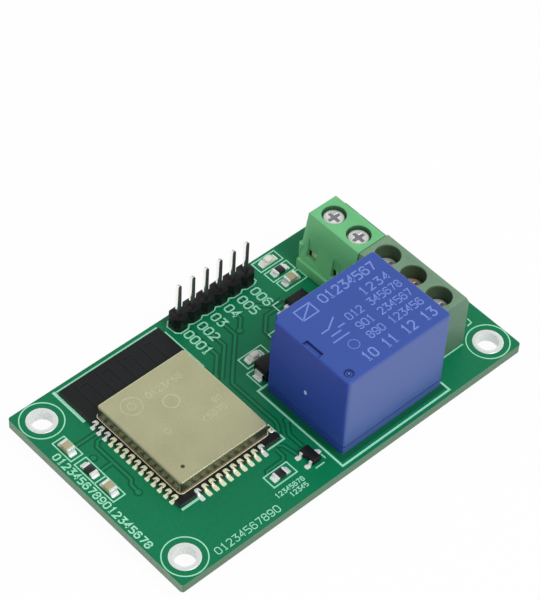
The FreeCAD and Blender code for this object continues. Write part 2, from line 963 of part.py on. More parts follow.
def fixed_contact(label, side, shelf_low, button_z):
    """A stamped blade from its pin to a shelf under or over the moving contact."""
    x = span(in_relay(s.contact_pin_x), s.blade_thickness)
    pin = pin_solid(in_relay(s.contact_pin_x), relay_side_y(side), (-s.tail_length, base_top),
                    FLAT_PIN)
    outer = s.side_pin_y + s.flat_pin_width / 2
    if side > 0:
        blade_y = (relay_y + s.blade_split + s.blade_gap, relay_y + outer)
        shelf_y = (relay_y - s.blade_split, relay_y + outer)
    else:
        blade_y = (relay_y - outer, relay_y + s.blade_split)
        shelf_y = (relay_y - s.blade_split, relay_y + s.blade_split)
    blade = block(x, blade_y, (base_top, shelf_low + s.blade_shelf))
    shelf = block((contact_x - s.contact_radius, x[1]), shelf_y,
                  (shelf_low, shelf_low + s.blade_shelf))
    button = rod(contact_x, relay_y, button_z, s.contact_radius)
    node(fuse(pin, blade, shelf, button), label)


def relay_fixed_contacts():
    closed_low = leaf_top + s.contact_button + s.closed_gap
    closed_shelf = closed_low + s.fixed_button
    fixed_contact("relay_closed_contact", 1, closed_shelf, (closed_low, closed_shelf))
    open_top = armature_top - s.contact_button - s.open_gap
    open_shelf = open_top - s.fixed_button - s.blade_shelf
    fixed_contact("relay_open_contact", -1, open_shelf, (open_top - s.fixed_button, open_top))


# Terminal blocks, with a rising clamp cage under each screw

def levels(t):
    """The heights inside a terminal block, above the board."""
    head_top = t.height - t.head_sink
    shoulder = head_top - t.head_height
    ceiling = shoulder - t.ceiling
    cage_top = s.cage_lift + t.cage_height
    bar_top = cage_top - s.cage_wall - s.bar_gap
    return {"head_top": head_top, "shoulder": shoulder, "ceiling": ceiling,
            "cage_top": cage_top, "bar_top": bar_top, "bar_low": bar_top - s.bar_thickness}


def terminal_housing(label, t, poles):
    """A moulded block: a screw well, a clamp room, a wire mouth and a peep slot for each pole."""
    housing = new_body(label, from_left(t.left), from_front(t.front), board_top)
    z = levels(t)
    width = poles * s.pole_pitch + 2 * t.end_wall
    profile = sketch(housing, "XZ_Plane", -width / 2)
    nose = t.top_front + s.nose_bulge
    polygon(profile, [
        (-t.slope_foot - s.ledge_step, 0), (nose, 0), (nose, t.height - s.nose_drop),
        (t.top_front, t.height), (-t.top_back, t.height),
        (-t.slope_foot, s.ledge_height), (-t.slope_foot - s.ledge_step, s.ledge_height),
    ])
    pad(housing, profile, width)
    middles = [(index - (poles - 1) / 2) * s.pole_pitch for index in range(poles)]
    wells = sketch(housing, "XY_Plane", t.height)
    bores = sketch(housing, "XY_Plane", z["shoulder"])
    rooms = sketch(housing, "XY_Plane")
    mouths = sketch(housing, "YZ_Plane", nose)
    peeps = sketch(housing, "YZ_Plane", -t.slope_foot - s.ledge_step)
    room_x = (-s.bar_back - s.cage_gap, s.cage_depth / 2 + s.cage_gap)
    room_width = s.cage_width + 2 * s.cage_gap
    peep_low = z["bar_top"] - s.peep_drop
    for middle in middles:
        circle(wells, 0, middle, t.well_radius)
        circle(bores, 0, middle, s.shank_radius + s.shank_bore_gap)
        rectangle(rooms, room_x, span(middle, room_width))
        rectangle(mouths, span(middle, s.mouth_width), (s.mouth_sill, z["cage_top"]))
        rectangle(peeps, span(middle + s.peep_offset, s.peep_width),
                  (peep_low, peep_low + s.peep_height))
    pocket(housing, wells, t.height - z["shoulder"])
    pocket(housing, bores, z["shoulder"] - z["ceiling"])
    pocket(housing, rooms, z["ceiling"], reverse=True)
    pocket(housing, mouths, nose - room_x[1])
    pocket(housing, peeps, t.slope_foot + s.ledge_step + room_x[0], reverse=True)
    return housing, width


def supply_housing():
    """The two pole block, with the round key on one end and its groove on the other."""
    housing, width = terminal_housing("supply_terminal_housing", supply, SUPPLY_POLES)
    key = sketch(housing, "XY_Plane", s.key_low)
    circle(key, -s.key_back, width / 2, s.key_radius)
    pad(housing, key, s.key_high - s.key_low)
    groove = sketch(housing, "XY_Plane", s.key_high)
    circle(groove, -s.key_back, -width / 2, s.key_radius + s.thread_gap)
    pocket(housing, groove, s.key_high - s.key_low)


def terminal_screw(label, t, y):
    """A slotted pan head screw, held under its head by the block's shoulder."""
    z = levels(t)
    screw = new_body(label, from_left(t.left), y, board_top)
    low = z["bar_top"] + s.shoulder_gap
    head_low = z["shoulder"] + s.shoulder_gap
    radius = t.well_radius - s.head_gap
    profile = sketch(screw, "XZ_Plane")
    polygon(profile, [
        (0, low), (s.shank_radius, low), (s.shank_radius, head_low), (radius, head_low),
        (radius, z["head_top"] - s.head_chamfer), (radius - s.head_chamfer, z["head_top"]),
        (0, z["head_top"]),
    ])
    turned(screw, profile)
    slot = sketch(screw, "XY_Plane", z["head_top"])
    half = s.head_slot / 2
    arm = radius - s.head_slot_edge
    polygon(slot, [(-half, -arm), (half, -arm), (half, -half), (arm, -half), (arm, half),
                   (half, half), (half, arm), (-half, arm), (-half, half), (-arm, half),
                   (-arm, -half), (-half, -half)])
    pocket(screw, slot, s.head_slot_depth)


def terminal_cage(label, t, y):
    """The box nut that rises on the screw and lifts the wire against the bar."""
    x = from_left(t.left)
    z = levels(t)
    low = above_board(s.cage_lift)
    high = above_board(z["cage_top"])
    depth = span(x, s.cage_depth)
    shell = block(depth, span(y, s.cage_width), (low, high))
    window = block(depth, span(y, s.cage_width - 2 * s.cage_wall),
                   (low + s.cage_wall, high - s.cage_wall))
    thread = rod(x, y, (high - s.cage_wall, high), s.shank_radius + s.thread_gap)
    node(cut(shell, window, thread), label)


def terminal_bar(t, y):
    """The fixed contact bar of one pole, its back strip and its solder pin."""
    x = from_left(t.left)
    z = levels(t)
    back = (x - s.bar_back, x - s.bar_back + s.bar_thickness)
    wide = span(y, s.bar_width)
    top = above_board(z["bar_top"])
    foot = above_board(s.bar_foot)
    bar = block((back[0], x + s.bar_front), wide, (above_board(z["bar_low"]), top))
    strip = block(back, wide, (foot, top))
    pin = pin_solid(bar_pin_x(t), y, (-s.tail_length, foot), BAR_PIN)
    return fuse(bar, strip, pin)


def terminal_fittings(prefix, t, poles):
    bars = []
    for index in range(poles):
        y = pole_y(t, poles, index)
        terminal_screw(f"{prefix}_terminal_screw_{index + 1}", t, y)
        terminal_cage(f"{prefix}_terminal_cage_{index + 1}", t, y)
        bars.append(terminal_bar(t, y))
    node(group(bars), f"{prefix}_terminal_bars")


# Surface mount parts: places from the board's left end and front edge, and the way they lie

RESISTORS = [(46.9, 32.5, "x"), (2.9, 22.3, "y"), (21.9, 5.1, "x"), (39.6, 20.4, "x")]
CAPACITORS = [(46.9, 30.1, "x"), (2.9, 27.1, "y"), (2.9, 18.2, "y"), (39.6, 23.4, "x")]
LEDS = {"power_led": (46.8, 34.95), "relay_led": (33.1, 22.75)}


def chip_boxes(x, y, way, height):
    """A chip's middle and its two metal ends."""
    half = s.chip_length / 2
    z = (board_top, above_board(height))
    pieces = []
    for low, high in ((-half + s.chip_end, half - s.chip_end),
                      (-half, -half + s.chip_end), (half - s.chip_end, half)):
        along = (low, high)
        across = span(0, s.chip_width)
        ends = (along, across) if way == "x" else (across, along)
        pieces.append(block((x + ends[0][0], x + ends[0][1]),
                            (y + ends[1][0], y + ends[1][1]), z))
    return pieces


def end_solder(x, y, way):
    """The two fillets of solder at a chip's ends."""
    fillets = []
    half = s.chip_length / 2
    reach = s.chip_solder_reach
    z = (board_top, above_board(s.chip_solder_height))
    for side in (-1, 1):
        low = outward(x if way == "x" else y, side, half, half + reach)
        high = outward(x if way == "x" else y, side, half, half + s.chip_solder_crest)
        across = span(y if way == "x" else x, s.chip_width)
        if way == "x":
            fillets.append(frustum(z, low, across, high, across))
        else:
            fillets.append(frustum(z, across, low, across, high))
    return fillets


def chips():
    solder = []
    for label, places, height in (("resistor", RESISTORS, s.resistor_height),
                                  ("capacitor", CAPACITORS, s.capacitor_height)):
        middles = []
        ends = []
        for left, front, way in places:
            x = from_left(left)
            y = from_front(front)
            middle, *caps = chip_boxes(x, y, way, height)
            middles.append(middle)
            ends += caps
            solder += end_solder(x, y, way)
        node(group(middles), f"{label}s")
        node(group(ends), f"{label}_ends")
    for left, front in LEDS.values():
        solder += end_solder(from_left(left), from_front(front), "x")
    node(group(solder), "chip_solder_joints")


def leds():
    for label, (left, front) in LEDS.items():
        x = from_left(left)
        y = from_front(front)
        z = (board_top, above_board(s.led_base_height))
        node(block(span(x, s.chip_length), span(y, s.chip_width), z), label)
        lens = new_body(f"{label}_lens", x, y, z[1])
        outline = sketch(lens, "XY_Plane")
        rectangle(outline, span(0, s.led_lens_length), span(0, s.led_lens_width))
        pad(lens, outline, s.led_lens_height)
        dress(lens, "Fillet", "Radius", s.led_lens_round,
              lambda edge: upright(edge) or at_height(edge, s.led_lens_height.value))


def moulded_package(x, y, width, length, height):
    """A plastic package that is widest at its parting line."""
    low = above_board(s.package_lift)
    top = above_board(height)
    middle = (low + top) / 2
    inset = 2 * s.package_taper
    wide = (span(x, width), span(y, length))
    thin = (span(x, width - inset), span(y, length - inset))
    return fuse(frustum((low, middle), thin[0], thin[1], wide[0], wide[1]),
                frustum((middle, top), wide[0], wide[1], thin[0], thin[1]))


def bent_lead(x, way, y, width, height, reach, knee):
    """A flat lead that leaves a package half way up and bends down to the board."""
    thick = s.lead_thickness
    middle = above_board(height / 2)
    across = span(y, width)
    shoulder = block(outward(x, way, 0, knee), across, (middle, middle + thick))
    shin = block(outward(x, way, knee - thick, knee), across, (board_top, middle + thick))
    foot = block(outward(x, way, knee - thick, reach), across, (board_top, board_top + thick))
    return fuse(shoulder, shin, foot)


def transistor():
    x = from_left(s.transistor_left)
    y = from_front(s.transistor_front)
    half = s.transistor_width / 2
    pitch = s.transistor_lead_pitch / 2
    node(moulded_package(x, y, s.transistor_width, s.transistor_length, s.transistor_height),
         "transistor")
    leads = [bent_lead(x + way * half, way, y + offset, s.transistor_lead_width,
                       s.transistor_height, s.transistor_lead_reach, s.transistor_lead_knee)
             for way, offset in ((-1, -pitch), (-1, pitch), (1, 0))]
    node(group(leads), "transistor_leads")


def diode():
    x = from_left(s.diode_left)
    y = from_front(s.diode_front)
    node(moulded_package(x, y, s.diode_length, s.diode_width, s.diode_height), "diode")
    leads = [bent_lead(x + way * s.diode_length / 2, way, y, s.diode_lead_width,
                       s.diode_height, s.diode_lead_reach, s.diode_lead_knee)
             for way in (-1, 1)]
    node(group(leads), "diode_leads")


def regulator():
    x = from_left(s.regulator_left)
    y = from_front(s.regulator_front)
    half = s.regulator_width / 2
    node(moulded_package(x, y, s.regulator_width, s.regulator_length, s.regulator_height),
         "regulator")
    bend = (s.regulator_height, s.regulator_lead_reach, s.regulator_lead_knee)
    leads = [bent_lead(x + half, 1, y, s.regulator_tab_width, *bend)]
    for index in range(REGULATOR_LEADS):
        offset = (index - (REGULATOR_LEADS - 1) / 2) * s.regulator_lead_pitch
        leads.append(bent_lead(x - half, -1, y + offset, s.regulator_lead_width, *bend))
    node(group(leads), "regulator_leads")


# Make every node, check it and write it

def build():
    circuit_board()
    mounting_hole_rims()
    tail_joints()
    module_board()
    module_solder_joints()
    module_shield()
    module_chips()
    module_antenna()
    header_body()
    header_pins()
    relay_cover()
    relay_base()
    relay_yoke()
    relay_core()
    relay_bobbin()
    relay_coil()
    relay_pins_up()
    relay_armature()
    relay_contact_leaf()
    relay_return_spring()
    relay_fixed_contacts()
    supply_housing()
    terminal_fittings("supply", supply, SUPPLY_POLES)
    terminal_housing("load_terminal_housing", load, LOAD_POLES)
    terminal_fittings("load", load, LOAD_POLES)
    chips()
    leds()
    transistor()
    diode()
    regulator()
    doc.recompute()


def check():
    for thing in doc.Objects:
        if "Invalid" in thing.State or "Error" in thing.State:
            raise RuntimeError(f"{thing.Label} failed: {thing.State}")
        if thing.TypeId == "PartDesign::Pocket":
            if thing.Shape.Volume >= thing.BaseFeature.Shape.Volume - 1e-6:
                owner = thing.getParentGeoFeatureGroup().Label
                raise RuntimeError(f"{thing.Label} of {owner} cuts nothing")
    for thing in NODES:
        if thing.Shape.isNull() or not thing.Shape.isValid():
            raise RuntimeError(f"{thing.Label} has no valid shape")


def write():
    os.makedirs("parts", exist_ok=True)
    for thing in NODES:
        thing.Shape.exportStep(f"parts/{thing.Label}.step")
        box = thing.Shape.BoundBox
        print(f"{thing.Label}: {len(thing.Shape.Solids)} solid(s), {thing.Shape.Volume:.2f} mm3, "
              f"z {box.ZMin:.2f} to {box.ZMax:.2f}")
    travel = {name: levels(t)["ceiling"] - levels(t)["cage_top"] - s.cage_stop
              for name, t in (("supply", supply), ("load", load))}
    for name, size in travel.items():
        turns = size.value / s.thread_pitch.value
        print(f"{name} cage rises {size.value:.2f} mm in {turns:.2f} turns")
    drop = armature_low - bobbin_top - s.pole_thickness
    far = s.core_x + s.pole_radius - s.yoke_back - s.yoke_thickness
    print(f"armature closes in {math.degrees(math.atan2(drop.value, far.value)):.2f} degrees")
    print(f"hinge at x {hinge_x.value:.3f}, y {relay_y.value:.3f}, z {yoke_top.value:.3f}")


build()
check()
write()
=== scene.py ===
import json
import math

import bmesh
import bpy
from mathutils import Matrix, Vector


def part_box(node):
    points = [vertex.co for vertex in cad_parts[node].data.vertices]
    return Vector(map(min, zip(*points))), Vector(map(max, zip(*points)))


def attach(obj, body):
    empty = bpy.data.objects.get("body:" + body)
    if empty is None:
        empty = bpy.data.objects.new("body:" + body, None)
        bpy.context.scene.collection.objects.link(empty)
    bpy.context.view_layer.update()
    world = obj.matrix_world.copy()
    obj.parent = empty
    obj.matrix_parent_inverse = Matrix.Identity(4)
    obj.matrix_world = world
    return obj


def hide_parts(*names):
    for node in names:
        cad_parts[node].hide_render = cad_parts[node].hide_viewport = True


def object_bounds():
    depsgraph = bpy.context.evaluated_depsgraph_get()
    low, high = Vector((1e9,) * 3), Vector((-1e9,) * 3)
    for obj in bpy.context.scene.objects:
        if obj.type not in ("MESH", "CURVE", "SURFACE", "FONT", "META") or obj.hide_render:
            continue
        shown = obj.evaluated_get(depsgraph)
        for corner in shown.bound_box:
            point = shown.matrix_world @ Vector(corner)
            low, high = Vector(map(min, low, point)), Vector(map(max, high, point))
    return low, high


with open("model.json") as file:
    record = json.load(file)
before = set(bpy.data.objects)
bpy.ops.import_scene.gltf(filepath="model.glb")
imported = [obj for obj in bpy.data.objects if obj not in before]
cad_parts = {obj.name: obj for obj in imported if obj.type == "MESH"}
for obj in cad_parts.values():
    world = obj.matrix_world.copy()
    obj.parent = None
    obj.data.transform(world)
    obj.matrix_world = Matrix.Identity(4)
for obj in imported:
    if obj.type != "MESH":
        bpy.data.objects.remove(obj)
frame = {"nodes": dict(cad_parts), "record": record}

# %% [markdown]
# A wireless remote switch is a bare green circuit board. A radio module under a metal shield
# listens, and a blue relay switches the wires that are clamped in the green terminal blocks.
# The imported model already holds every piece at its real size, so this lesson only dresses it:
# it builds the finishes, rounds the edges that a mould leaves round, flows the solder, and lays
# the copper tracks and the printed lines on the board. Blender counts in metres, and so do the
# camera, the lamp and the floor; everything on the board is named in millimetres.

MM = 0.001
ROOT_BODY = "board_assembly"
CAD_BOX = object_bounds()
BOARD_LOW, BOARD_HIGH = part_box("circuit_board")


def spot(x, y, z=0.0):
    """A point given in millimetres from the board's left end, its front edge and its top."""
    return Vector((BOARD_LOW.x + x * MM, BOARD_LOW.y + y * MM, BOARD_HIGH.z + z * MM))


def node_box(node):
    """A node's lowest and highest corner, in the same board millimetres."""
    low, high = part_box(node)
    start = spot(0, 0)
    return (low - start) / MM, (high - start) / MM


def middle_of(box):
    """The middle of a box as seen from above."""
    low, high = box
    return ((low + high) / 2).to_2d()


BOARD_SIZE = (BOARD_HIGH - BOARD_LOW) / MM
UNDER = -BOARD_SIZE.z
print("board", [round(v, 2) for v in BOARD_SIZE], "mm,", len(frame["nodes"]), "nodes")

# %% [markdown]
# The camera comes first. It was found by matching the corners of the board, the relay and the
# holes at once. It looks down at the board's near corner with a long lens, slightly rolled, so
# three plain angles are enough.

# %% Camera
PHOTO_LONG_SIDE = 600
FOCAL_PIXELS = 2389.2
CAMERA_PLACE = Vector((-0.15043, -0.14943, 0.25858))
CAMERA_HEADING = -45.035
CAMERA_TILT = 41.455
CAMERA_ROLL = 3.573

camera_data = bpy.data.cameras.new("photo_camera")
camera_data.lens = FOCAL_PIXELS / PHOTO_LONG_SIDE * camera_data.sensor_width
camera_data.clip_start = 0.01
camera = bpy.data.objects.new("photo_camera", camera_data)
bpy.context.scene.collection.objects.link(camera)
camera.matrix_world = Matrix.Translation(CAMERA_PLACE)
for angle, axis in ((CAMERA_HEADING, "Z"), (CAMERA_TILT, "X"), (CAMERA_ROLL, "Z")):
    camera.matrix_world = camera.matrix_world @ Matrix.Rotation(math.radians(angle), 4, axis)
bpy.context.scene.camera = camera
print("lens", round(camera_data.lens, 1), "mm")

# %% [markdown]
# The photograph was taken in a light tent on pure white. Upward faces are the brightest, the
# front faces a little less and the left faces about half as bright, so the plain light of the
# world does two thirds of the work and one wide lamp, high over the front edge, does the rest.
# A surface that reflects sees the tent: white walls low down, and a greyer roof between them.

# %% Light and floor
WORLD_LEVEL = 0.6
TENT_WHITE = 1.0
TENT_ROOF = 0.35
WALL_END = 0.5
ROOF_START = 0.86
LAMP_PLACE = (0.06, -0.26, 0.40)
LAMP_SIZE = 0.26
LAMP_POWER = 1.0
FLOOR_HALF = 1.5
FLOOR_GAP = 0.00002
FLOOR_GLOW = 0.96


def join(tree, source, target):
    tree.links.new(source, target)


def add_node(tree, kind, **values):
    node = tree.nodes.new(kind)
    for name, value in values.items():
        setattr(node, name, value)
    return node


def mirror_rays(tree, path):
    """A mask of the rays that a surface reflects or that pass through it."""
    both = add_node(tree, "ShaderNodeMath", operation="MAXIMUM")
    join(tree, path.outputs["Is Glossy Ray"], both.inputs[0])
    join(tree, path.outputs["Is Transmission Ray"], both.inputs[1])
    return both.outputs[0]


def plain_light(tree, level):
    shade = add_node(tree, "ShaderNodeBackground")
    shade.inputs["Color"].default_value = (1, 1, 1, 1)
    shade.inputs["Strength"].default_value = level
    return shade


def mix_shades(tree, mask, first, second):
    mix = add_node(tree, "ShaderNodeMixShader")
    join(tree, mask, mix.inputs[0])
    join(tree, first.outputs[0], mix.inputs[1])
    join(tree, second.outputs[0], mix.inputs[2])
    return mix


def light_world():
    world = bpy.data.worlds.new("light_tent")
    world.use_nodes = True
    tree = world.node_tree
    tree.nodes.clear()
    path = add_node(tree, "ShaderNodeLightPath")
    place = add_node(tree, "ShaderNodeTexCoord")
    parts = add_node(tree, "ShaderNodeSeparateXYZ")
    join(tree, place.outputs["Generated"], parts.inputs[0])
    height = add_node(tree, "ShaderNodeMapRange", interpolation_type="SMOOTHSTEP")
    height.inputs["From Min"].default_value = WALL_END
    height.inputs["From Max"].default_value = ROOF_START
    join(tree, parts.outputs["Z"], height.inputs["Value"])
    tent = mix_shades(tree, height.outputs[0], plain_light(tree, TENT_WHITE),
                      plain_light(tree, TENT_ROOF))
    lit = mix_shades(tree, mirror_rays(tree, path), plain_light(tree, WORLD_LEVEL), tent)
    seen = mix_shades(tree, path.outputs["Is Camera Ray"], lit, plain_light(tree, TENT_WHITE))
    out = add_node(tree, "ShaderNodeOutputWorld")
    join(tree, seen.outputs[0], out.inputs["Surface"])
    bpy.context.scene.world = world


def lay_floor():
    """The white floor: mostly its own white, so that only a faint shadow is left on it."""
    material = bpy.data.materials.new("tent_floor")
    material.use_nodes = True
    tree = material.node_tree
    tree.nodes.clear()
    matt = add_node(tree, "ShaderNodeBsdfDiffuse")
    matt.inputs["Color"].default_value = (0.9, 0.9, 0.9, 1)
    glow = add_node(tree, "ShaderNodeEmission")
    glow.inputs["Strength"].default_value = TENT_WHITE
    path = add_node(tree, "ShaderNodeLightPath")
    seen = add_node(tree, "ShaderNodeMath", operation="MAXIMUM")
    join(tree, path.outputs["Is Camera Ray"], seen.inputs[0])
    join(tree, mirror_rays(tree, path), seen.inputs[1])
    share = add_node(tree, "ShaderNodeMath", operation="MULTIPLY")
    share.inputs[1].default_value = FLOOR_GLOW
    join(tree, seen.outputs[0], share.inputs[0])
    out = add_node(tree, "ShaderNodeOutputMaterial")
    join(tree, mix_shades(tree, share.outputs[0], matt, glow).outputs[0], out.inputs["Surface"])
    mesh = bpy.data.meshes.new("floor")
    height = CAD_BOX[0].z - FLOOR_GAP
    corners = [(-1, -1), (1, -1), (1, 1), (-1, 1)]
    mesh.from_pydata([(x * FLOOR_HALF, y * FLOOR_HALF, height) for x, y in corners], [],
                     [(0, 1, 2, 3)])
    mesh.materials.append(material)
    floor = bpy.data.objects.new("floor", mesh)
    bpy.context.scene.collection.objects.link(floor)


def hang_lamp():
    light = bpy.data.lights.new("tent_lamp", "AREA")
    light.shape = "DISK"
    light.size = LAMP_SIZE
    light.energy = LAMP_POWER
    lamp = bpy.data.objects.new("tent_lamp", light)
    lamp.location = LAMP_PLACE
    middle = (CAD_BOX[0] + CAD_BOX[1]) / 2
    lamp.rotation_euler = (middle - lamp.location).to_track_quat("-Z", "Y").to_euler()
    bpy.context.scene.collection.objects.link(lamp)
    print("lamp", LAMP_POWER, "W,", round((lamp.location - middle).length, 3), "m away")


light_world()
lay_floor()
hang_lamp()
bpy.context.scene.view_settings.view_transform = "Standard"

# %% [markdown]
# Several finishes share the same fine effects, so each effect is a node group, built once and
# placed in a material with its own values. The first one is the grain that every real surface
# has: a colour that drifts a little between two shades, a roughness that drifts with it, and a
# very low relief. It could be painted, but noise in the object's own space needs no map and has
# the same scale on a large face and on a small one.

# %% Node group: fine grain
GROUPS = {}
NOISE_RANGE = (0.35, 0.65)


def new_group(name, inputs, outputs):
    """An empty node group with named sockets; inputs are (title, kind, value)."""
    group = bpy.data.node_groups.new(name, "ShaderNodeTree")
    for title, kind, value in inputs:
        socket = group.interface.new_socket(title, in_out="INPUT", socket_type=kind)
        socket.default_value = value
    for title, kind in outputs:
        group.interface.new_socket(title, in_out="OUTPUT", socket_type=kind)
    GROUPS[name] = group
    return group, group.nodes.new("NodeGroupInput"), group.nodes.new("NodeGroupOutput")


def sum_up(tree, operation, first, second):
    """A Math node between two sockets or numbers; returns its output."""
    node = add_node(tree, "ShaderNodeMath", operation=operation)
    for index, item in enumerate((first, second)):
        if isinstance(item, (int, float)):
            node.inputs[index].default_value = item
        else:
            join(tree, item, node.inputs[index])
    return node.outputs[0]


def blend_colours(tree, mask, first, second):
    """A Mix node between two colours; the mask is 0 for the first and 1 for the second."""
    node = add_node(tree, "ShaderNodeMix", data_type="RGBA")
    for index, source in ((0, mask), (6, first), (7, second)):
        join(tree, source, node.inputs[index])
    return node.outputs[2]


def own_space(tree):
    """The point in the object's own space, in millimetres."""
    place = add_node(tree, "ShaderNodeTexCoord")
    grow = add_node(tree, "ShaderNodeVectorMath", operation="SCALE")
    grow.inputs["Scale"].default_value = 1 / MM
    join(tree, place.outputs["Object"], grow.inputs[0])
    return grow.outputs[0]


def noise(tree, place, cell, detail=2.0):
    """Noise whose blots are cell millimetres wide; cell is a socket or a number."""
    node = add_node(tree, "ShaderNodeTexNoise")
    node.inputs["Detail"].default_value = detail
    join(tree, place, node.inputs["Vector"])
    join(tree, sum_up(tree, "DIVIDE", 1.0, cell), node.inputs["Scale"])
    return node.outputs[0]


def light_of(red, green, blue):
    """A screen colour, 0 to 255, as the amounts of light that Blender mixes."""
    shares = (red / 255, green / 255, blue / 255)
    return tuple(v / 12.92 if v <= 0.04045 else ((v + 0.055) / 1.055) ** 2.4 for v in shares)


def place_group(tree, name, **values):
    """A group placed in a tree, with its inputs set; spaces are written as _."""
    node = add_node(tree, "ShaderNodeGroup", node_tree=GROUPS[name])
    for title, value in values.items():
        socket = node.inputs[title.replace("_", " ")]
        socket.default_value = (*light_of(*value), 1) if socket.type == "RGBA" else value
    return node


def build_fine_grain():
    tree, inputs, outputs = new_group(
        "fine_grain",
        [("Light shade", "NodeSocketColor", (0.8, 0.8, 0.8, 1)),
         ("Dark shade", "NodeSocketColor", (0.6, 0.6, 0.6, 1)),
         ("Cell", "NodeSocketFloat", 0.3), ("Drift", "NodeSocketFloat", 6.0),
         ("Roughness", "NodeSocketFloat", 0.5), ("Spread", "NodeSocketFloat", 0.1)],
        [("Colour", "NodeSocketColor"), ("Roughness", "NodeSocketFloat"),
         ("Height", "NodeSocketFloat")])
    place = own_space(tree)
    fine = noise(tree, place, inputs.outputs["Cell"], 3.0)
    wide = noise(tree, place, inputs.outputs["Drift"], 2.0)
    both = sum_up(tree, "MULTIPLY", sum_up(tree, "ADD", fine, wide), 0.5)
    spread = add_node(tree, "ShaderNodeMapRange")
    for title, value in zip(("From Min", "From Max"), NOISE_RANGE):
        spread.inputs[title].default_value = value
    join(tree, both, spread.inputs["Value"])
    join(tree, blend_colours(tree, spread.outputs[0], inputs.outputs["Dark shade"],
                             inputs.outputs["Light shade"]), outputs.inputs["Colour"])
    shift = sum_up(tree, "MULTIPLY", sum_up(tree, "SUBTRACT", wide, 0.5),
                   inputs.outputs["Spread"])
    join(tree, sum_up(tree, "ADD", inputs.outputs["Roughness"], shift),
         outputs.inputs["Roughness"])
    join(tree, fine, outputs.inputs["Height"])


build_fine_grain()
print("group fine_grain:", len(GROUPS["fine_grain"].nodes), "nodes")

# %% [markdown]
# Some pieces carry two finishes on faces that look different ways: a board is coloured on top
# and bare at its edges, and a pin cut from plated strip is bright on two sides and dull on the
# sheared ones. The same masks give the relay's case and the load block painted shade and sheen
# on some of their faces. The piece's own normal tells the faces apart, so no second mesh is
# needed.

# %% Node group: facing
SQUARELY = 0.7


def build_facing():
    tree, inputs, outputs = new_group(
        "facing", [], [("Left or right", "NodeSocketFloat"), ("Front or back", "NodeSocketFloat"),
                       ("Top or bottom", "NodeSocketFloat")])
    normal = add_node(tree, "ShaderNodeTexCoord")
    parts = add_node(tree, "ShaderNodeSeparateXYZ")
    join(tree, normal.outputs["Normal"], parts.inputs[0])
    for way, title in zip("XYZ", ("Left or right", "Front or back", "Top or bottom")):
        size = sum_up(tree, "ABSOLUTE", parts.outputs[way], 0.0)
        join(tree, sum_up(tree, "GREATER_THAN", size, SQUARELY), outputs.inputs[title])


build_facing()
print("group facing:", len(GROUPS["facing"].nodes), "nodes")

# %% [markdown]
# A circuit board is glass cloth in resin, pressed in layers and sawn. Its faces are covered with
# coloured mask; its edges show the bare layers, and the front edge is darker than the left one.
# One mesh carries all of it, so the group uses the facing masks and draws thin lines along the
# edges. Under the mask the cloth's weave just shows as a relief of crossing threads. The board
# and the module share it.

# %% Node group: pressed laminate
def build_pressed_laminate():
    tree, inputs, outputs = new_group(
        "pressed_laminate",
        [("Face colour", "NodeSocketColor", (0.0, 0.3, 0.1, 1)),
         ("Edge colour", "NodeSocketColor", (0.4, 0.4, 0.2, 1)),
         ("Front colour", "NodeSocketColor", (0.4, 0.4, 0.2, 1)),
         ("Layer colour", "NodeSocketColor", (0.2, 0.2, 0.1, 1)),
         ("Layer", "NodeSocketFloat", 0.2), ("Thread", "NodeSocketFloat", 0.5)],
        [("Colour", "NodeSocketColor"), ("Face", "NodeSocketFloat"),
         ("Height", "NodeSocketFloat")])
    facing = place_group(tree, "facing")
    flat = facing.outputs["Top or bottom"]
    place = own_space(tree)
    ways = add_node(tree, "ShaderNodeSeparateXYZ")
    join(tree, place, ways.inputs[0])
    turn = 2 * math.pi
    ripple = sum_up(tree, "MULTIPLY", noise(tree, place, 0.4), 0.35)
    rise = sum_up(tree, "ADD", ways.outputs["Z"], ripple)
    steps = sum_up(tree, "SINE", sum_up(tree, "MULTIPLY", sum_up(
        tree, "DIVIDE", rise, inputs.outputs["Layer"]), turn), 0.0)
    lines = sum_up(tree, "ADD", sum_up(tree, "MULTIPLY", steps, 0.5), 0.5)
    sawn = blend_colours(tree, facing.outputs["Front or back"], inputs.outputs["Edge colour"],
                         inputs.outputs["Front colour"])
    edge = blend_colours(tree, lines, inputs.outputs["Layer colour"], sawn)
    join(tree, blend_colours(tree, flat, edge, inputs.outputs["Face colour"]),
         outputs.inputs["Colour"])
    join(tree, flat, outputs.inputs["Face"])
    waves = []
    for way in ("X", "Y"):
        count = sum_up(tree, "DIVIDE", ways.outputs[way], inputs.outputs["Thread"])
        waves.append(sum_up(tree, "SINE", sum_up(tree, "MULTIPLY", count, turn), 0.0))
    join(tree, sum_up(tree, "MULTIPLY", *waves), outputs.inputs["Height"])


build_pressed_laminate()
print("group pressed_laminate:", len(GROUPS["pressed_laminate"].nodes), "nodes")

# %% [markdown]
# Rolled and drawn metal has fine lines along the way it was worked: the crystal's can, the
# relay's springs and iron, and the terminals' cages. Stretching a noise along one axis draws
# them. The group gives a value for the roughness and a relief.

# %% Node group: drawn lines
def build_drawn_lines():
    tree, inputs, outputs = new_group(
        "drawn_lines",
        [("Stretch", "NodeSocketVector", (12.0, 1.0, 1.0)), ("Cell", "NodeSocketFloat", 0.05)],
        [("Lines", "NodeSocketFloat"), ("Height", "NodeSocketFloat")])
    squeeze = add_node(tree, "ShaderNodeVectorMath", operation="DIVIDE")
    join(tree, own_space(tree), squeeze.inputs[0])
    join(tree, inputs.outputs["Stretch"], squeeze.inputs[1])
    lines = noise(tree, squeeze.outputs[0], inputs.outputs["Cell"], 3.0)
    join(tree, lines, outputs.inputs["Lines"])
    join(tree, lines, outputs.inputs["Height"])


build_drawn_lines()
print("group drawn_lines:", len(GROUPS["drawn_lines"].nodes), "nodes")

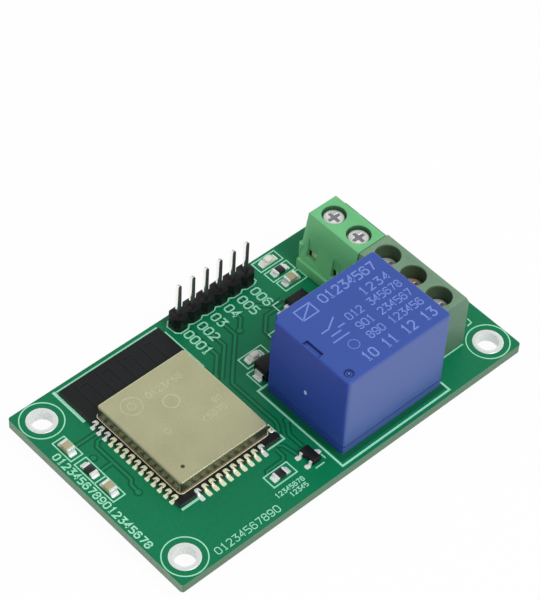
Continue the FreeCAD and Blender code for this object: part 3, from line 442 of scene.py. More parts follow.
# %% [markdown]
# Every finish is a Principled surface fed by these groups. Plain numbers, such as how metallic a
# finish is, sit on the surface's own sockets; only what changes over the surface comes through
# the groups. A colour is written as the eye names it, in the screen's scale from 0 to 255, and
# place_group changes it to light. The helpers below make the common kinds.

# %% Finish helpers
FINISH = {}


def new_finish(name, metallic=0.0, **sockets):
    """A material with a Principled surface; sockets are plain values for its own sockets."""
    material = bpy.data.materials.new(name)
    material.use_nodes = True
    tree = material.node_tree
    surface = next(n for n in tree.nodes if n.type == "BSDF_PRINCIPLED")
    surface.inputs["Metallic"].default_value = metallic
    for title, value in sockets.items():
        surface.inputs[title.replace("_", " ")].default_value = value
    FINISH[name] = material
    return tree, surface


def emboss(tree, surface, height, depth):
    """Relief of depth millimetres on the surface."""
    bump = add_node(tree, "ShaderNodeBump")
    bump.inputs["Distance"].default_value = depth * MM
    join(tree, height, bump.inputs["Height"])
    join(tree, bump.outputs["Normal"], surface.inputs["Normal"])


def place_grain(tree, light, dark, roughness, cell=0.3, drift=6.0, spread=0.1):
    return place_group(tree, "fine_grain", Light_shade=light, Dark_shade=dark, Cell=cell,
                       Drift=drift, Roughness=roughness, Spread=spread)


def grained(name, light, dark, roughness, cell=0.3, drift=6.0, spread=0.1, relief=0.01,
            metallic=0.0, **sockets):
    """The common finish: two shades of one colour with a fine grain."""
    tree, surface = new_finish(name, metallic, **sockets)
    grain = place_grain(tree, light, dark, roughness, cell, drift, spread)
    join(tree, grain.outputs["Colour"], surface.inputs["Base Color"])
    join(tree, grain.outputs["Roughness"], surface.inputs["Roughness"])
    emboss(tree, surface, grain.outputs["Height"], relief)


def two_zones(name, mask_of, outside, inside, metallic=1.0, relief=0.003, **sockets):
    """Two grains on one piece, divided by a mask; each is its light shade, dark and roughness."""
    tree, surface = new_finish(name, metallic, **sockets)
    mask = mask_of(tree)
    first, second = [place_grain(tree, *zone, drift=5.0, spread=0.08)
                     for zone in (outside, inside)]
    join(tree, blend_colours(tree, mask, first.outputs["Colour"], second.outputs["Colour"]),
         surface.inputs["Base Color"])
    share = add_node(tree, "ShaderNodeMix", data_type="FLOAT")
    join(tree, mask, share.inputs[0])
    join(tree, first.outputs["Roughness"], share.inputs[2])
    join(tree, second.outputs["Roughness"], share.inputs[3])
    join(tree, share.outputs[0], surface.inputs["Roughness"])
    emboss(tree, surface, first.outputs["Height"], relief)


def drawn_metal(name, light, dark, roughness, stretch, spread=0.2, relief=0.003, cell=0.05):
    """Metal with drawn lines along one axis."""
    tree, surface = new_finish(name, 1.0)
    lines = place_group(tree, "drawn_lines", Stretch=stretch, Cell=cell)
    grain = place_grain(tree, light, dark, roughness, cell=0.4, drift=5.0)
    join(tree, grain.outputs["Colour"], surface.inputs["Base Color"])
    shift = sum_up(tree, "MULTIPLY",
                   sum_up(tree, "SUBTRACT", lines.outputs["Lines"], 0.5), spread)
    join(tree, sum_up(tree, "ADD", grain.outputs["Roughness"], shift),
         surface.inputs["Roughness"])
    emboss(tree, surface, lines.outputs["Height"], relief)


print("light of middle grey", [round(v, 3) for v in light_of(128, 128, 128)])

# %% [markdown]
# The board and the module are laminates. The board's mask is glossy green over copper; it is a
# little lighter towards the left end in the photograph, which the wide drift of the grain gives.
# The module's mask is black and its edges are dark too.

# %% Laminate finishes
SAWN_ROUGHER = 0.35


def laminate(name, light, dark, edge, front, layer, roughness, layer_pitch):
    tree, surface = new_finish(name, Specular_IOR_Level=0.25)
    grain = place_grain(tree, light, dark, roughness, cell=0.5, drift=14.0, spread=0.12)
    cloth = place_group(tree, "pressed_laminate", Edge_colour=edge, Front_colour=front,
                        Layer_colour=layer, Layer=layer_pitch, Thread=0.45)
    join(tree, grain.outputs["Colour"], cloth.inputs["Face colour"])
    join(tree, cloth.outputs["Colour"], surface.inputs["Base Color"])
    bare = sum_up(tree, "MULTIPLY", sum_up(tree, "SUBTRACT", 1.0, cloth.outputs["Face"]),
                  SAWN_ROUGHER)
    join(tree, sum_up(tree, "ADD", grain.outputs["Roughness"], bare),
         surface.inputs["Roughness"])
    emboss(tree, surface, cloth.outputs["Height"], 0.002)


laminate("board_laminate", (12, 128, 84), (6, 120, 78), edge=(156, 182, 158),
         front=(100, 130, 108), layer=(104, 134, 110), roughness=0.32, layer_pitch=0.27)
laminate("module_laminate", (26, 29, 30), (22, 24, 25), edge=(66, 74, 68),
         front=(66, 78, 72), layer=(44, 50, 46), roughness=0.42, layer_pitch=0.2)
grained("track_mask", (22, 138, 92), (14, 130, 85), 0.34, relief=0.002, Specular_IOR_Level=0.25)
grained("track_gap", (5, 98, 63), (3, 90, 57), 0.4, relief=0.002, Specular_IOR_Level=0.25)
grained("print_ink", (178, 244, 214), (150, 228, 190), 0.6, cell=0.12, relief=0.006)
print(len(FINISH), "finishes so far")

# %% [markdown]
# Metals: tin and solder are bright and soft-edged. Much of the light is scattered in their skin,
# so they are only partly metallic; a full mirror would show the tent's grey roof. The shield is
# a warm nickel sheet; its top is pale with painted light and its drawn walls are darker with
# painted shade, besides mirroring the board. The pins are cut from plated strip: bright left and
# right, dull in front and behind. On the full metals reflections do most of the work, so their
# colours tint white light.

# %% Metal finishes
def fused_metal(name, light, dark, roughness, relief, metallic=1.0):
    """Metal that has melted: no lines, only slow waves in its skin."""
    grained(name, light, dark, roughness, cell=0.25, drift=1.6, spread=0.16, relief=relief,
            metallic=metallic)


# Above this height the shield takes its painted light; it sets how far down the edge the painted
# highlight reaches.
SHIELD_PAINTED_LIGHT_FROM = 4.725


def painted_light_on_shield_top(tree):
    """A mask of the shield's flat top, which takes painted light, by height in the model's own
    millimetres.
    """
    ways = add_node(tree, "ShaderNodeSeparateXYZ")
    join(tree, own_space(tree), ways.inputs[0])
    return sum_up(tree, "GREATER_THAN", ways.outputs["Z"], SHIELD_PAINTED_LIGHT_FROM)


# Front and back faces: sheared on the pins, painted shade on the load block.
def sheared_and_shaded_sides(tree):
    return place_group(tree, "facing").outputs["Front or back"]


fused_metal("tinned_copper", (248, 251, 249), (234, 239, 236), 0.34, 0.003, 0.3)
fused_metal("solder", (244, 252, 247), (224, 236, 228), 0.24, 0.015, 0.2)
fused_metal("gold_solder", (250, 254, 220), (238, 246, 206), 0.24, 0.008, 0.15)
fused_metal("gold_shade", (98, 98, 66), (78, 78, 50), 0.3, 0.004, 0.5)
# Painted highlight: the bright strip round the shield's lip.
fused_metal("lip_highlight", (244, 238, 210), (226, 220, 190), 0.3, 0.004, 0.2)
fused_metal("contact_silver", (230, 230, 228), (205, 205, 203), 0.22, 0.004)
grained("antenna_copper", (28, 31, 32), (24, 26, 27), 0.44, relief=0.002, Specular_IOR_Level=0.25)
# Painted shade on the shield's walls, painted light on its top.
two_zones("shield_metal", painted_light_on_shield_top, ((150, 146, 124), (138, 134, 112), 0.36),
          ((226, 226, 184), (216, 216, 174), 0.36), relief=0.0004)
drawn_metal("crystal_metal", (210, 205, 190), (190, 185, 170), 0.3, (1, 8, 1))
two_zones("pin_metal", sheared_and_shaded_sides, ((250, 249, 246), (240, 239, 235), 0.14),
          ((140, 134, 136), (118, 112, 114), 0.5))
drawn_metal("relay_iron", (170, 172, 176), (140, 142, 146), 0.4, (1, 10, 1))
drawn_metal("spring_copper", (206, 150, 100), (180, 124, 80), 0.3, (10, 1, 1))
drawn_metal("coil_copper", (200, 110, 60), (160, 80, 40), 0.35, (14, 14, 0.5))
fused_metal("screw_metal", (246, 247, 244), (220, 222, 218), 0.24, 0.008, 0.5)
drawn_metal("cage_metal", (200, 196, 184), (170, 166, 156), 0.3, (1, 1, 8))
fused_metal("bar_metal", (250, 246, 226), (234, 228, 204), 0.3, 0.004, 0.3)
print(len(FINISH), "finishes so far")

# %% [markdown]
# Plastics and ceramics: moulded parts have a very low spark-eroded relief and a soft shine.
# The relay's case is deep blue. Its upright faces mirror the board and the tent, so they differ
# from its top. Reflections alone don't give all of that, so painted light is added to the
# colours: a painted sheen makes the front and back greyer, and painted shade makes the two ends
# deeper.

# %% Plastic and ceramic finishes
def case_with_painted_light(name, top, ends, sides, roughness, **sockets):
    """A light and a dark shade each for the top, the ends with painted shade and the front and
    back with painted sheen.
    """
    tree, surface = new_finish(name, **sockets)
    facing = place_group(tree, "facing")
    grains = [place_grain(tree, light, dark, roughness, cell=0.2)
              for light, dark in (top, ends, sides)]
    colour = grains[0].outputs["Colour"]
    for title, grain in zip(("Left or right", "Front or back"), grains[1:]):
        colour = blend_colours(tree, facing.outputs[title], colour, grain.outputs["Colour"])
    join(tree, colour, surface.inputs["Base Color"])
    join(tree, grains[0].outputs["Roughness"], surface.inputs["Roughness"])
    emboss(tree, surface, grains[0].outputs["Height"], 0.002)


# Painted sheen on the relay case's front and back, painted shade on its ends.
case_with_painted_light("relay_plastic", top=((57, 86, 170), (53, 82, 165)),
             ends=((48, 73, 170), (44, 69, 165)), sides=((75, 98, 164), (71, 94, 159)),
             roughness=0.44, Specular_IOR_Level=0.38)
grained("supply_plastic", (116, 202, 137), (106, 192, 126), 0.42, cell=0.2, relief=0.005)
# Painted shade: the load block's front and back faces are darker.
two_zones("load_plastic", sheared_and_shaded_sides, ((124, 158, 128), (112, 146, 116), 0.5),
          ((98, 134, 110), (88, 124, 100), 0.55), metallic=0.0, relief=0.006)
grained("header_plastic", (13, 14, 15), (8, 9, 10), 0.4, cell=0.15, relief=0.006,
        Specular_IOR_Level=0.3)
grained("chip_plastic", (24, 24, 26), (15, 15, 17), 0.5, cell=0.1, relief=0.008,
        Specular_IOR_Level=0.3)
grained("bobbin_plastic", (236, 230, 208), (222, 214, 190), 0.5, cell=0.2)
grained("resistor_ceramic", (44, 42, 42), (28, 27, 28), 0.3, cell=0.1, relief=0.004)
grained("capacitor_ceramic", (190, 182, 142), (172, 164, 126), 0.5, cell=0.12)
grained("led_body", (236, 236, 228), (220, 220, 210), 0.5, cell=0.12)
grained("led_lens", (250, 250, 240), (240, 242, 224), 0.3, relief=0.002, Alpha=0.94)
grained("relay_ink", (124, 148, 222), (114, 138, 214), 0.5, cell=0.12, relief=0.002)
grained("relay_shade", (26, 42, 110), (22, 36, 100), 0.35, cell=0.12, relief=0.002)
grained("well_shade_bright", (50, 108, 68), (42, 96, 60), 0.55, cell=0.2)
grained("well_shade_sage", (80, 106, 74), (66, 90, 60), 0.6, cell=0.2)
grained("slot_shade", (138, 134, 140), (112, 108, 114), 0.5, cell=0.1)
# A coppery tone for the middle screw of the three pole block.
grained("coppery_tone", (236, 200, 180), (216, 176, 154), 0.24, metallic=0.5)
grained("diode_band", (196, 198, 196), (180, 182, 180), 0.5, cell=0.12)
# Painted highlight: the pale colour of the relay's gate scar.
grained("gate_scar_highlight", (190, 206, 250), (176, 194, 244), 0.5, cell=0.12, relief=0.004)
drawn_metal("shield_etch", (238, 238, 200), (230, 230, 192), 0.42, (1, 1, 1))
# Painted shade: the dark disc that stands for the shield's small hole.
grained("pit_shade", (70, 66, 54), (54, 50, 40), 0.6, cell=0.08, relief=0.004)
print(len(FINISH), "finishes in all")

# %% [markdown]
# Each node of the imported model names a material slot, and each slot has a finish of the same
# name. Dressing the nodes is one loop. The pieces made below replace some of them and take
# their finish from the same table.

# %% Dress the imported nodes
SLOT_OF = {row["node"]: row["material_slot"] for row in frame["record"]["subparts"]}
BODY_OF = {node: body for body, nodes in frame["record"]["behaviour"]["bodies"].items()
           for node in nodes}

for node, thing in frame["nodes"].items():
    thing.data.materials.clear()
    thing.data.materials.append(FINISH[SLOT_OF[node]])
print(len(frame["nodes"]), "nodes dressed")

# %% [markdown]
# Sharp edges give away a model: a mould, a saw or a reel always leaves a small radius, and it
# catches the light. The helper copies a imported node, welds its corners, joins what is flat and
# rounds what is sharp. The copy then stands for the node. The wire sides of the two housings
# are moved by a fraction of a millimetre, to the step between them that the photograph shows.

# %% Rounded copies
WELD = 0.0005 * MM
FLAT_DEGREES = 1.0
SMOOTH_DEGREES = 38
SHARP_DEGREES = 30
ROUND_STEPS = 2


def finished_piece(bm, name, finish, body=ROOT_BODY, stands_for=(),
                   smooth=SMOOTH_DEGREES):
    """Turns mesh work into a piece that rides on a body."""
    bmesh.ops.recalc_face_normals(bm, faces=bm.faces)
    mesh = bpy.data.meshes.new(name)
    bm.to_mesh(mesh)
    bm.free()
    mesh.shade_smooth()
    mesh.set_sharp_from_angle(angle=math.radians(smooth))
    mesh.materials.append(FINISH[finish])
    thing = bpy.data.objects.new(name, mesh)
    bpy.context.scene.collection.objects.link(thing)
    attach(thing, body)
    if stands_for:
        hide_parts(*stands_for)
    print(name, len(mesh.polygons), "faces")


def copied_mesh(node):
    """A node's mesh with its corners welded and its flat faces joined."""
    bm = bmesh.new()
    bm.from_mesh(frame["nodes"][node].data)
    bmesh.ops.remove_doubles(bm, verts=bm.verts, dist=WELD)
    bmesh.ops.dissolve_limit(bm, angle_limit=math.radians(FLAT_DEGREES), verts=bm.verts,
                             edges=bm.edges)
    return bm


def loose_parts(node):
    """The lowest and highest corner of each separate part of a node, in board millimetres."""
    bm = copied_mesh(node)
    boxes = []
    waiting = set(bm.verts)
    while waiting:
        stack = [waiting.pop()]
        part = []
        while stack:
            vert = stack.pop()
            part.append(tuple((vert.co - spot(0, 0)) / MM))
            for edge in vert.link_edges:
                other = edge.other_vert(vert)
                if other in waiting:
                    waiting.remove(other)
                    stack.append(other)
        boxes.append((Vector(map(min, zip(*part))), Vector(map(max, zip(*part)))))
    bm.free()
    return sorted(boxes, key=lambda box: tuple(box[0]))


def round_edges(bm, radius):
    sharp = [edge for edge in bm.edges if len(edge.link_faces) == 2
             and edge.calc_face_angle() > math.radians(SHARP_DEGREES)]
    bmesh.ops.bevel(bm, geom=sharp, offset=radius * MM, offset_type="OFFSET",
                    segments=ROUND_STEPS, profile=0.5, affect="EDGES", clamp_overlap=True)


def rounded_copy(node, radius, nose=None, finish=None):
    """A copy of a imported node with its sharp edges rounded; it stands for the node.

    With a nose, what lies beyond that x (board millimetres) is moved by the given step.
    """
    bm = copied_mesh(node)
    if nose:
        beyond, step = nose
        for vert in bm.verts:
            if vert.co.x > spot(beyond, 0).x:
                vert.co.x += step * MM
    round_edges(bm, radius)
    finished_piece(bm, node + "_rounded", finish or SLOT_OF[node], BODY_OF[node],
                   (node,))


EDGE_RADIUS = {"header_body": 0.08, "header_pins": 0.05, "resistors": 0.05,
               "resistor_ends": 0.05, "capacitors": 0.06, "capacitor_ends": 0.07,
               "transistor": 0.08, "diode": 0.1, "regulator": 0.1}
HOUSING_RADIUS = 0.12
HOUSING_NOSES = {"supply_terminal_housing": (56.1, 0.15),
                 "load_terminal_housing": (56.8, -0.2)}

for node, radius in EDGE_RADIUS.items():
    rounded_copy(node, radius)
for node, nose in HOUSING_NOSES.items():
    rounded_copy(node, HOUSING_RADIUS, nose)

# %% [markdown]
# The copper tracks lie under the mask. What the eye sees is a low ridge of mask over each track,
# with a darker line of bare laminate on each side of it. So a track is made twice: a wide flat
# strip in the dark finish and a narrower, higher one in the light finish. A strip with proper
# corners is one helper, which the printed lines use too. Curves with a bevel could do it, but
# they have no flat top. Each track is a hair higher than the last, because two faces at the
# very same height flicker where tracks meet. Round the relay's foot a strip in the dark finish
# is a painted shadow of the relay.

# %% Strips, plates and discs
DISC_STEPS = 24
CORNER_STEPS = 6
SHARPEST_CORNER = 0.3


def strip_offsets(points, half, closed):
    """The two sides of a line of even width, mitred at all but its sharpest corners."""
    count = len(points)
    sides = []
    for index, point in enumerate(points):
        before = points[index - 1] if closed or index else None
        after = points[(index + 1) % count] if closed or index < count - 1 else None
        ways = []
        if before is not None:
            ways.append((point - before).normalized())
        if after is not None:
            ways.append((after - point).normalized())
        way = sum(ways, Vector((0, 0))).normalized()
        across = Vector((-way.y, way.x))
        reach = half / max(SHARPEST_CORNER, way.dot(ways[0]))
        sides.append((point + across * reach, point - across * reach))
    return sides


def bridge(bm, rings, closed=False):
    """Faces from each ring of points to the next; the ends are capped unless the row is closed.

    A ring may be a single point, where a turned shape comes to its axis.
    """
    pairs = list(zip(rings, rings[1:]))
    if closed:
        pairs.append((rings[-1], rings[0]))
    else:
        bm.faces.new(rings[0])
        bm.faces.new(rings[-1])
    for first, second in pairs:
        count = max(len(first), len(second))
        if count == 1:
            continue
        for index in range(count):
            after = (index + 1) % count
            corners = [first[index % len(first)], first[after % len(first)],
                       second[after % len(second)], second[index % len(second)]]
            bm.faces.new(list(dict.fromkeys(corners)))


def add_strip(bm, points, width, low, high, closed=False, slope=0.0):
    """A solid strip along points (board millimetres), from height low to high."""
    line = [Vector(point) for point in points]
    wide = strip_offsets(line, width / 2, closed)
    narrow = strip_offsets(line, width / 2 - slope, closed)
    rings = []
    for (left, right), (left_top, right_top) in zip(wide, narrow):
        corners = [(left, low), (left_top, high), (right_top, high), (right, low)]
        rings.append([bm.verts.new(spot(p.x, p.y, z)) for p, z in corners])
    bridge(bm, rings, closed)


def circle_points(centre, radius, steps, start=0.0, sweep=360.0):
    """Points of a circle or, with a smaller sweep, of an arc."""
    count = steps if sweep >= 360 else steps + 1
    angles = [math.radians(start + sweep * index / steps) for index in range(count)]
    return [(centre[0] + radius * math.cos(a), centre[1] + radius * math.sin(a)) for a in angles]


def add_slab(bm, outline, low, high):
    """A flat plate with the given outline."""
    bridge(bm, [[bm.verts.new(spot(x, y, z)) for x, y in outline] for z in (low, high)])


def add_disc(bm, centre, radius, low, high):
    add_slab(bm, circle_points(centre, radius, DISC_STEPS), low, high)


def box_points(x_range, y_range):
    (left, right), (front, back) = x_range, y_range
    return [(left, front), (right, front), (right, back), (left, back)]


def rounded_box(low, high, shift, corner):
    """Points round a box that is grown by shift on each side and has round corners."""
    inset = corner - shift
    centres = box_points((low.x + inset, high.x - inset), (low.y + inset, high.y - inset))
    line = []
    for centre, start in zip(centres, (180, 270, 0, 90)):
        line += circle_points(centre, corner, CORNER_STEPS, start, 90)
    return line


SUNK = -0.01
TRACK_WIDTH = 0.42
TRACK_HEIGHT = 0.035
TRACK_SLOPE = 0.05
GAP_WIDTH = 0.94
GAP_HEIGHT = 0.012
GAP_STEP = 0.001
TRACK_LIFT = 0.0007
VIA_RADIUS = 0.42
VIA_HEIGHT = 0.049
VIA_GAP = 0.24
RELAY_SHADOW_WIDTH = 0.88
RELAY_PAINTED_SHADOW = [(30.2, 17.5), (30.2, 1.7), (49.8, 1.7)]
TRACKS = [
    [(4.0, 26.75), (7.8, 26.75)],
    [(7.8, 25.6), (6.9, 25.5), (6.2, 24.8), (6.2, 17.6), (5.6, 16.9), (5.5, 15.3)],
    [(4.0, 21.35), (6.0, 21.35)],
    [(24.4, 8.6), (24.4, 7.2), (23.9, 6.7), (21.0, 6.7), (20.6, 6.1)],
    [(27.5, 6.6), (27.5, 9.4), (28.9, 11.4)],
    [(26.4, 10.2), (27.4, 11.7), (27.6, 12.4), (27.6, 17.2)],
    [(29.4, 32.6), (29.4, 26.4), (26.6, 23.6)],
    [(31.4, 32.6), (31.4, 27.1), (27.0, 22.7)],
    [(33.9, 32.6), (33.9, 27.6), (28.4, 22.1), (27.6, 21.2), (27.6, 17.2)],
    [(36.5, 32.6), (36.5, 29.4), (34.8, 27.7)],
    [(39.0, 32.6), (39.0, 30.6), (41.3, 28.3), (43.5, 28.3)],
    [(43.5, 27.4), (39.6, 27.4), (37.5, 25.3), (37.4, 23.6), (38.4, 22.6), (38.4, 18.2)],
    [(24.9, 9.2), (25.6, 8.5), (26.0, 6.0)],
    [(48.2, 29.3), (49.0, 29.3), (49.6, 28.7), (49.6, 19.0)],
]
VIAS = [(5.5, 15.3), (4.6, 23.6), (28.9, 11.4), (26.6, 23.6), (34.8, 27.7), (38.4, 18.2)]


def lay_tracks():
    ridges = bmesh.new()
    gaps = bmesh.new()
    for index, track in enumerate(TRACKS):
        lift = index * TRACK_LIFT
        add_strip(gaps, track, GAP_WIDTH, SUNK, GAP_HEIGHT + lift)
        add_strip(ridges, track, TRACK_WIDTH, SUNK, TRACK_HEIGHT + lift, slope=TRACK_SLOPE)
    # Painted shadow: a dark strip round the relay's foot.
    add_strip(gaps, RELAY_PAINTED_SHADOW, RELAY_SHADOW_WIDTH, SUNK, GAP_HEIGHT - 3 * GAP_STEP)
    for via in VIAS:
        add_disc(gaps, via, VIA_RADIUS + VIA_GAP, SUNK, GAP_HEIGHT - GAP_STEP)
        add_disc(ridges, via, VIA_RADIUS, SUNK, VIA_HEIGHT)
    finished_piece(gaps, "track_gaps", "track_gap")
    finished_piece(ridges, "board_tracks", "track_mask")


lay_tracks()

# %% [markdown]
# The printed lines tell an assembler where each part goes. They are white ink on green, so they
# look mint. The rows beside them hold plain counting numbers. They are drawn with straight pen
# strokes, as a plotter draws them, which needs no font and keeps every stroke a closed solid.

# %% Printed lines and numbers
INK_HEIGHT = 0.05
CELL_WIDTH = 4
CELL_HEIGHT = 6
DIGIT_SHARE = 0.72
STROKES = {
    "0": [[(1, 0), (3, 0), (4, 1), (4, 5), (3, 6), (1, 6), (0, 5), (0, 1), (1, 0)]],
    "1": [[(0.8, 4.8), (2, 6), (2, 0)], [(0.8, 0), (3.2, 0)]],
    "2": [[(0, 5), (1, 6), (3, 6), (4, 5), (4, 3.8), (0, 0), (4, 0)]],
    "3": [[(0, 6), (4, 6), (2, 3.6), (3, 3.6), (4, 2.6), (4, 1), (3, 0), (1, 0), (0, 1)]],
    "4": [[(3, 0), (3, 6), (0, 2), (4, 2)]],
    "5": [[(4, 6), (0, 6), (0, 3.4), (3, 3.4), (4, 2.4), (4, 1), (3, 0), (0, 0)]],
    "6": [[(4, 5), (3, 6), (1, 6), (0, 5), (0, 1), (1, 0), (3, 0), (4, 1), (4, 2.6),
           (3, 3.6), (0, 3.6)]],
    "7": [[(0, 6), (4, 6), (1.5, 0)]],
    "8": [[(1, 3.2), (0, 4.2), (0, 5), (1, 6), (3, 6), (4, 5), (4, 4.2), (3, 3.2), (1, 3.2),
           (0, 2.2), (0, 1), (1, 0), (3, 0), (4, 1), (4, 2.2), (3, 3.2)]],
    "9": [[(0, 1), (1, 0), (3, 0), (4, 1), (4, 5), (3, 6), (1, 6), (0, 5), (0, 3.4),
           (1, 2.4), (4, 2.4)]],
    " ": [],
}


def write_number(bm, text, start, way, height, step, pen, low=SUNK, high=INK_HEIGHT):
    """Digits from start (board x, y) along way, each a step from the last; pen is their line."""
    along = Vector(way).normalized()
    upward = Vector((-along.y, along.x))
    wide = min(height / CELL_HEIGHT, step * DIGIT_SHARE / CELL_WIDTH)
    tall = height / CELL_HEIGHT
    for index, digit in enumerate(text):
        for stroke in STROKES[digit]:
            line = [Vector(start) + along * (index * step + x * wide) + upward * y * tall
                    for x, y in stroke]
            add_strip(bm, line, pen, low, high)


def draw_line(bm, points, width, closed=False):
    add_strip(bm, points, width, SUNK, INK_HEIGHT, closed)


OUTLINE_PEN = 0.19
OUTLINES = [
    ((1.92, 3.95), (25.1, 29.1)), ((1.92, 3.95), (16.2, 24.4)), ((19.8, 24.0), (4.0, 6.2)),
    ((44.6, 48.9), (33.95, 36.0)), ((44.7, 49.0), (31.4, 33.4)), ((44.9, 49.1), (29.0, 31.0)),
    ((31.0, 35.3), (21.7, 23.8)), ((37.4, 41.8), (19.3, 21.5)), ((37.4, 41.8), (22.3, 24.5)),
]
LINES = [
    (0.2, [(50.0, 5.35), (57.3, 5.35)]),
    (0.2, [(61.2, 8.3), (61.1, 7.4), (60.2, 7.3)]),
    (0.5, [(7.65, 29.2), (7.65, 36.0)]),
    (0.25, [(8.0, 35.75), (26.2, 35.75)]),
    (0.2, [(26.6, 26.0), (26.6, 34.4)]),
    (0.38, [(8.0, 9.3), (11.6, 9.3)]),
    (0.25, [(23.4, 9.3), (26.5, 9.3), (26.5, 10.2)]),
    (0.25, [(26.4, 11.0), (26.4, 12.1)]),
    (0.2, [(1.92, 20.2), (3.95, 20.2)]),
    (0.2, [(30.2, 18.0), (30.2, 21.1), (36.4, 21.1), (36.4, 18.0)]),
    (0.2, [(41.6, 26.4), (41.6, 28.2), (42.8, 28.2)]),
    (0.2, [(26.3, 2.8), (27.9, 2.8)]),
    (0.2, [(28.5, 3.2), (28.5, 4.1)]),
]
RELAY_FRAME = ((29.35, 49.9), (0.7, 17.85))
RELAY_FRAME_PEN = 0.3
HOLE_PRINT_RADIUS = 3.15
HOLE_PRINT_PEN = 0.18
RIM_STEPS = 48
HOLE_PLACES = [middle_of(box) for box in loose_parts("mounting_hole_rims")]
PIN_PLACES = [middle_of(box) for box in loose_parts("header_pins")]
PIN_PITCH = PIN_PLACES[1].x - PIN_PLACES[0].x
PIN_NUMBERS = ("0001", "002", "03", "04", "005", "006")
PIN_NUMBER_SIZES = (1.4, 1.3, 0.25)
PIN_NUMBER_LEFT = 0.7
PIN_NUMBER_TOP = 32.25
ALONG, DOWN = (1, 0), (0, -1)
NUMBERS = [
    ("0123456789012345678", (0.42, 27.3), DOWN, 1.05, 1.06, 0.22),
    ("01234567890", (6.93, 0.67), ALONG, 1.08, 1.04, 0.13),
    ("12345678", (19.0, 2.4), ALONG, 0.66, 0.64, 0.13),
    ("12345", (20.7, 1.35), ALONG, 0.66, 0.64, 0.13),
]
HEADER_PEN = 0.2
BOW_FRONT = 32.92
FIRST_BOW_FRONT = 32.7
BOW_WAIST = 33.25
BOW_BACK = (34.9, 35.6)
BOW_FLAT = 0.7
BOW_CORNER = 0.15


def draw_header_outline(bm):
    """The bowed outline round the header, one bow a pin; the first one bows out further."""
    points = []
    half = PIN_PITCH / 2 + BOW_CORNER
    for index, pin in enumerate(PIN_PLACES):
        front = BOW_FRONT if index else FIRST_BOW_FRONT
        points += [(pin.x - PIN_PITCH / 2, BOW_WAIST), (pin.x - BOW_FLAT, front),
                   (pin.x + BOW_FLAT, front)]
    first, last = PIN_PLACES[0].x, PIN_PLACES[-1].x
    side, back = BOW_BACK
    points += [(last + half, BOW_WAIST), (last + half, side), (last + BOW_FLAT, back),
               (first - BOW_FLAT, back), (first - half, side)]
    draw_line(bm, points, HEADER_PEN, True)


def print_board():
    ink = bmesh.new()
    draw_line(ink, box_points(*RELAY_FRAME), RELAY_FRAME_PEN, True)
    for outline in OUTLINES:
        draw_line(ink, box_points(*outline), OUTLINE_PEN, True)
    for width, points in LINES:
        draw_line(ink, points, width)
    for place in HOLE_PLACES:
        draw_line(ink, circle_points(place, HOLE_PRINT_RADIUS, RIM_STEPS), HOLE_PRINT_PEN, True)
    draw_header_outline(ink)
    for row in NUMBERS:
        write_number(ink, *row)
    for pin, number in zip(PIN_PLACES, PIN_NUMBERS):
        start = (pin.x - PIN_NUMBER_LEFT, PIN_NUMBER_TOP)
        write_number(ink, number, start, DOWN, *PIN_NUMBER_SIZES)
    finished_piece(ink, "board_print", "print_ink")


print_board()

# %% [markdown]
# The four mounting holes are plated: a barrel of tin through the board and a flat ring on each
# face, a little proud, with a soft shoulder where the solder pulled back. Turning a profile
# round the hole's axis makes both rings and the barrel in one closed skin.

# %% Mounting hole rims
HOLE_RADIUS = 1.6
RIM_RADIUS = 2.25
BARREL_WALL = 0.06
RIM_HEIGHT = 0.05


def add_turned(bm, centre, profile, steps):
    """Turns a closed profile of (radius, height) points round an upright axis."""
    rings = []
    for radius, z in profile:
        round_it = circle_points(centre, radius, steps) if radius else [centre]
        rings.append([bm.verts.new(spot(*point, z)) for point in round_it])
    bridge(bm, rings, closed=True)


def rim_profile():
    """From the barrel's middle over the upper ring, down the board and back."""
    inner = HOLE_RADIUS - BARREL_WALL
    upper = [(inner, -0.15), (inner + 0.03, 0.02), (inner + 0.12, RIM_HEIGHT),
             (RIM_RADIUS - 0.15, RIM_HEIGHT), (RIM_RADIUS - 0.03, RIM_HEIGHT * 0.6),
             (RIM_RADIUS, 0.002), (HOLE_RADIUS, 0.001)]
    return upper + [(radius, UNDER - z) for radius, z in reversed(upper)]


def add_rims():
    bm = bmesh.new()
    for place in HOLE_PLACES:
        add_turned(bm, place, rim_profile(), RIM_STEPS)
    finished_piece(bm, "hole_rims", "tinned_copper",
                   stands_for=("mounting_hole_rims",))


add_rims()

# %% [markdown]
# Under the board each pin's tail stands in a cone of solder. Molten solder wets both the pad and
# the pin, so its side is hollow, not straight: a steep thin collar on the pin that runs out flat
# on the pad.

# %% Solder under the board
JOINT_STEPS = 24
JOINT_ROWS = 9
JOINT_REACH = 0.95
JOINT_DROP = 0.9
JOINT_EDGE = 0.03
TAIL_RADIUS = 0.42


def joint_profile():
    """From the pad out to the joint's edge and in a hollow curve down to the tail."""
    profile = [(0.0, UNDER + 0.02), (JOINT_REACH, UNDER + 0.02)]
    for index in range(JOINT_ROWS):
        share = index / (JOINT_ROWS - 1)
        radius = JOINT_REACH + (TAIL_RADIUS - JOINT_REACH) * share ** 0.5
        drop = JOINT_EDGE + (JOINT_DROP - JOINT_EDGE) * share ** 1.7
        profile.append((radius, UNDER - drop))
    profile.append((0.0, UNDER - JOINT_DROP))
    return profile


def add_tail_joints():
    places = [middle_of(box) for box in loose_parts("tail_solder_joints")]
    bm = bmesh.new()
    for place in places:
        add_turned(bm, place, joint_profile(), JOINT_STEPS)
    finished_piece(bm, "tail_joints_flowed", "solder",
                   stands_for=("tail_solder_joints",))
    print(len(places), "joints under the board")


add_tail_joints()

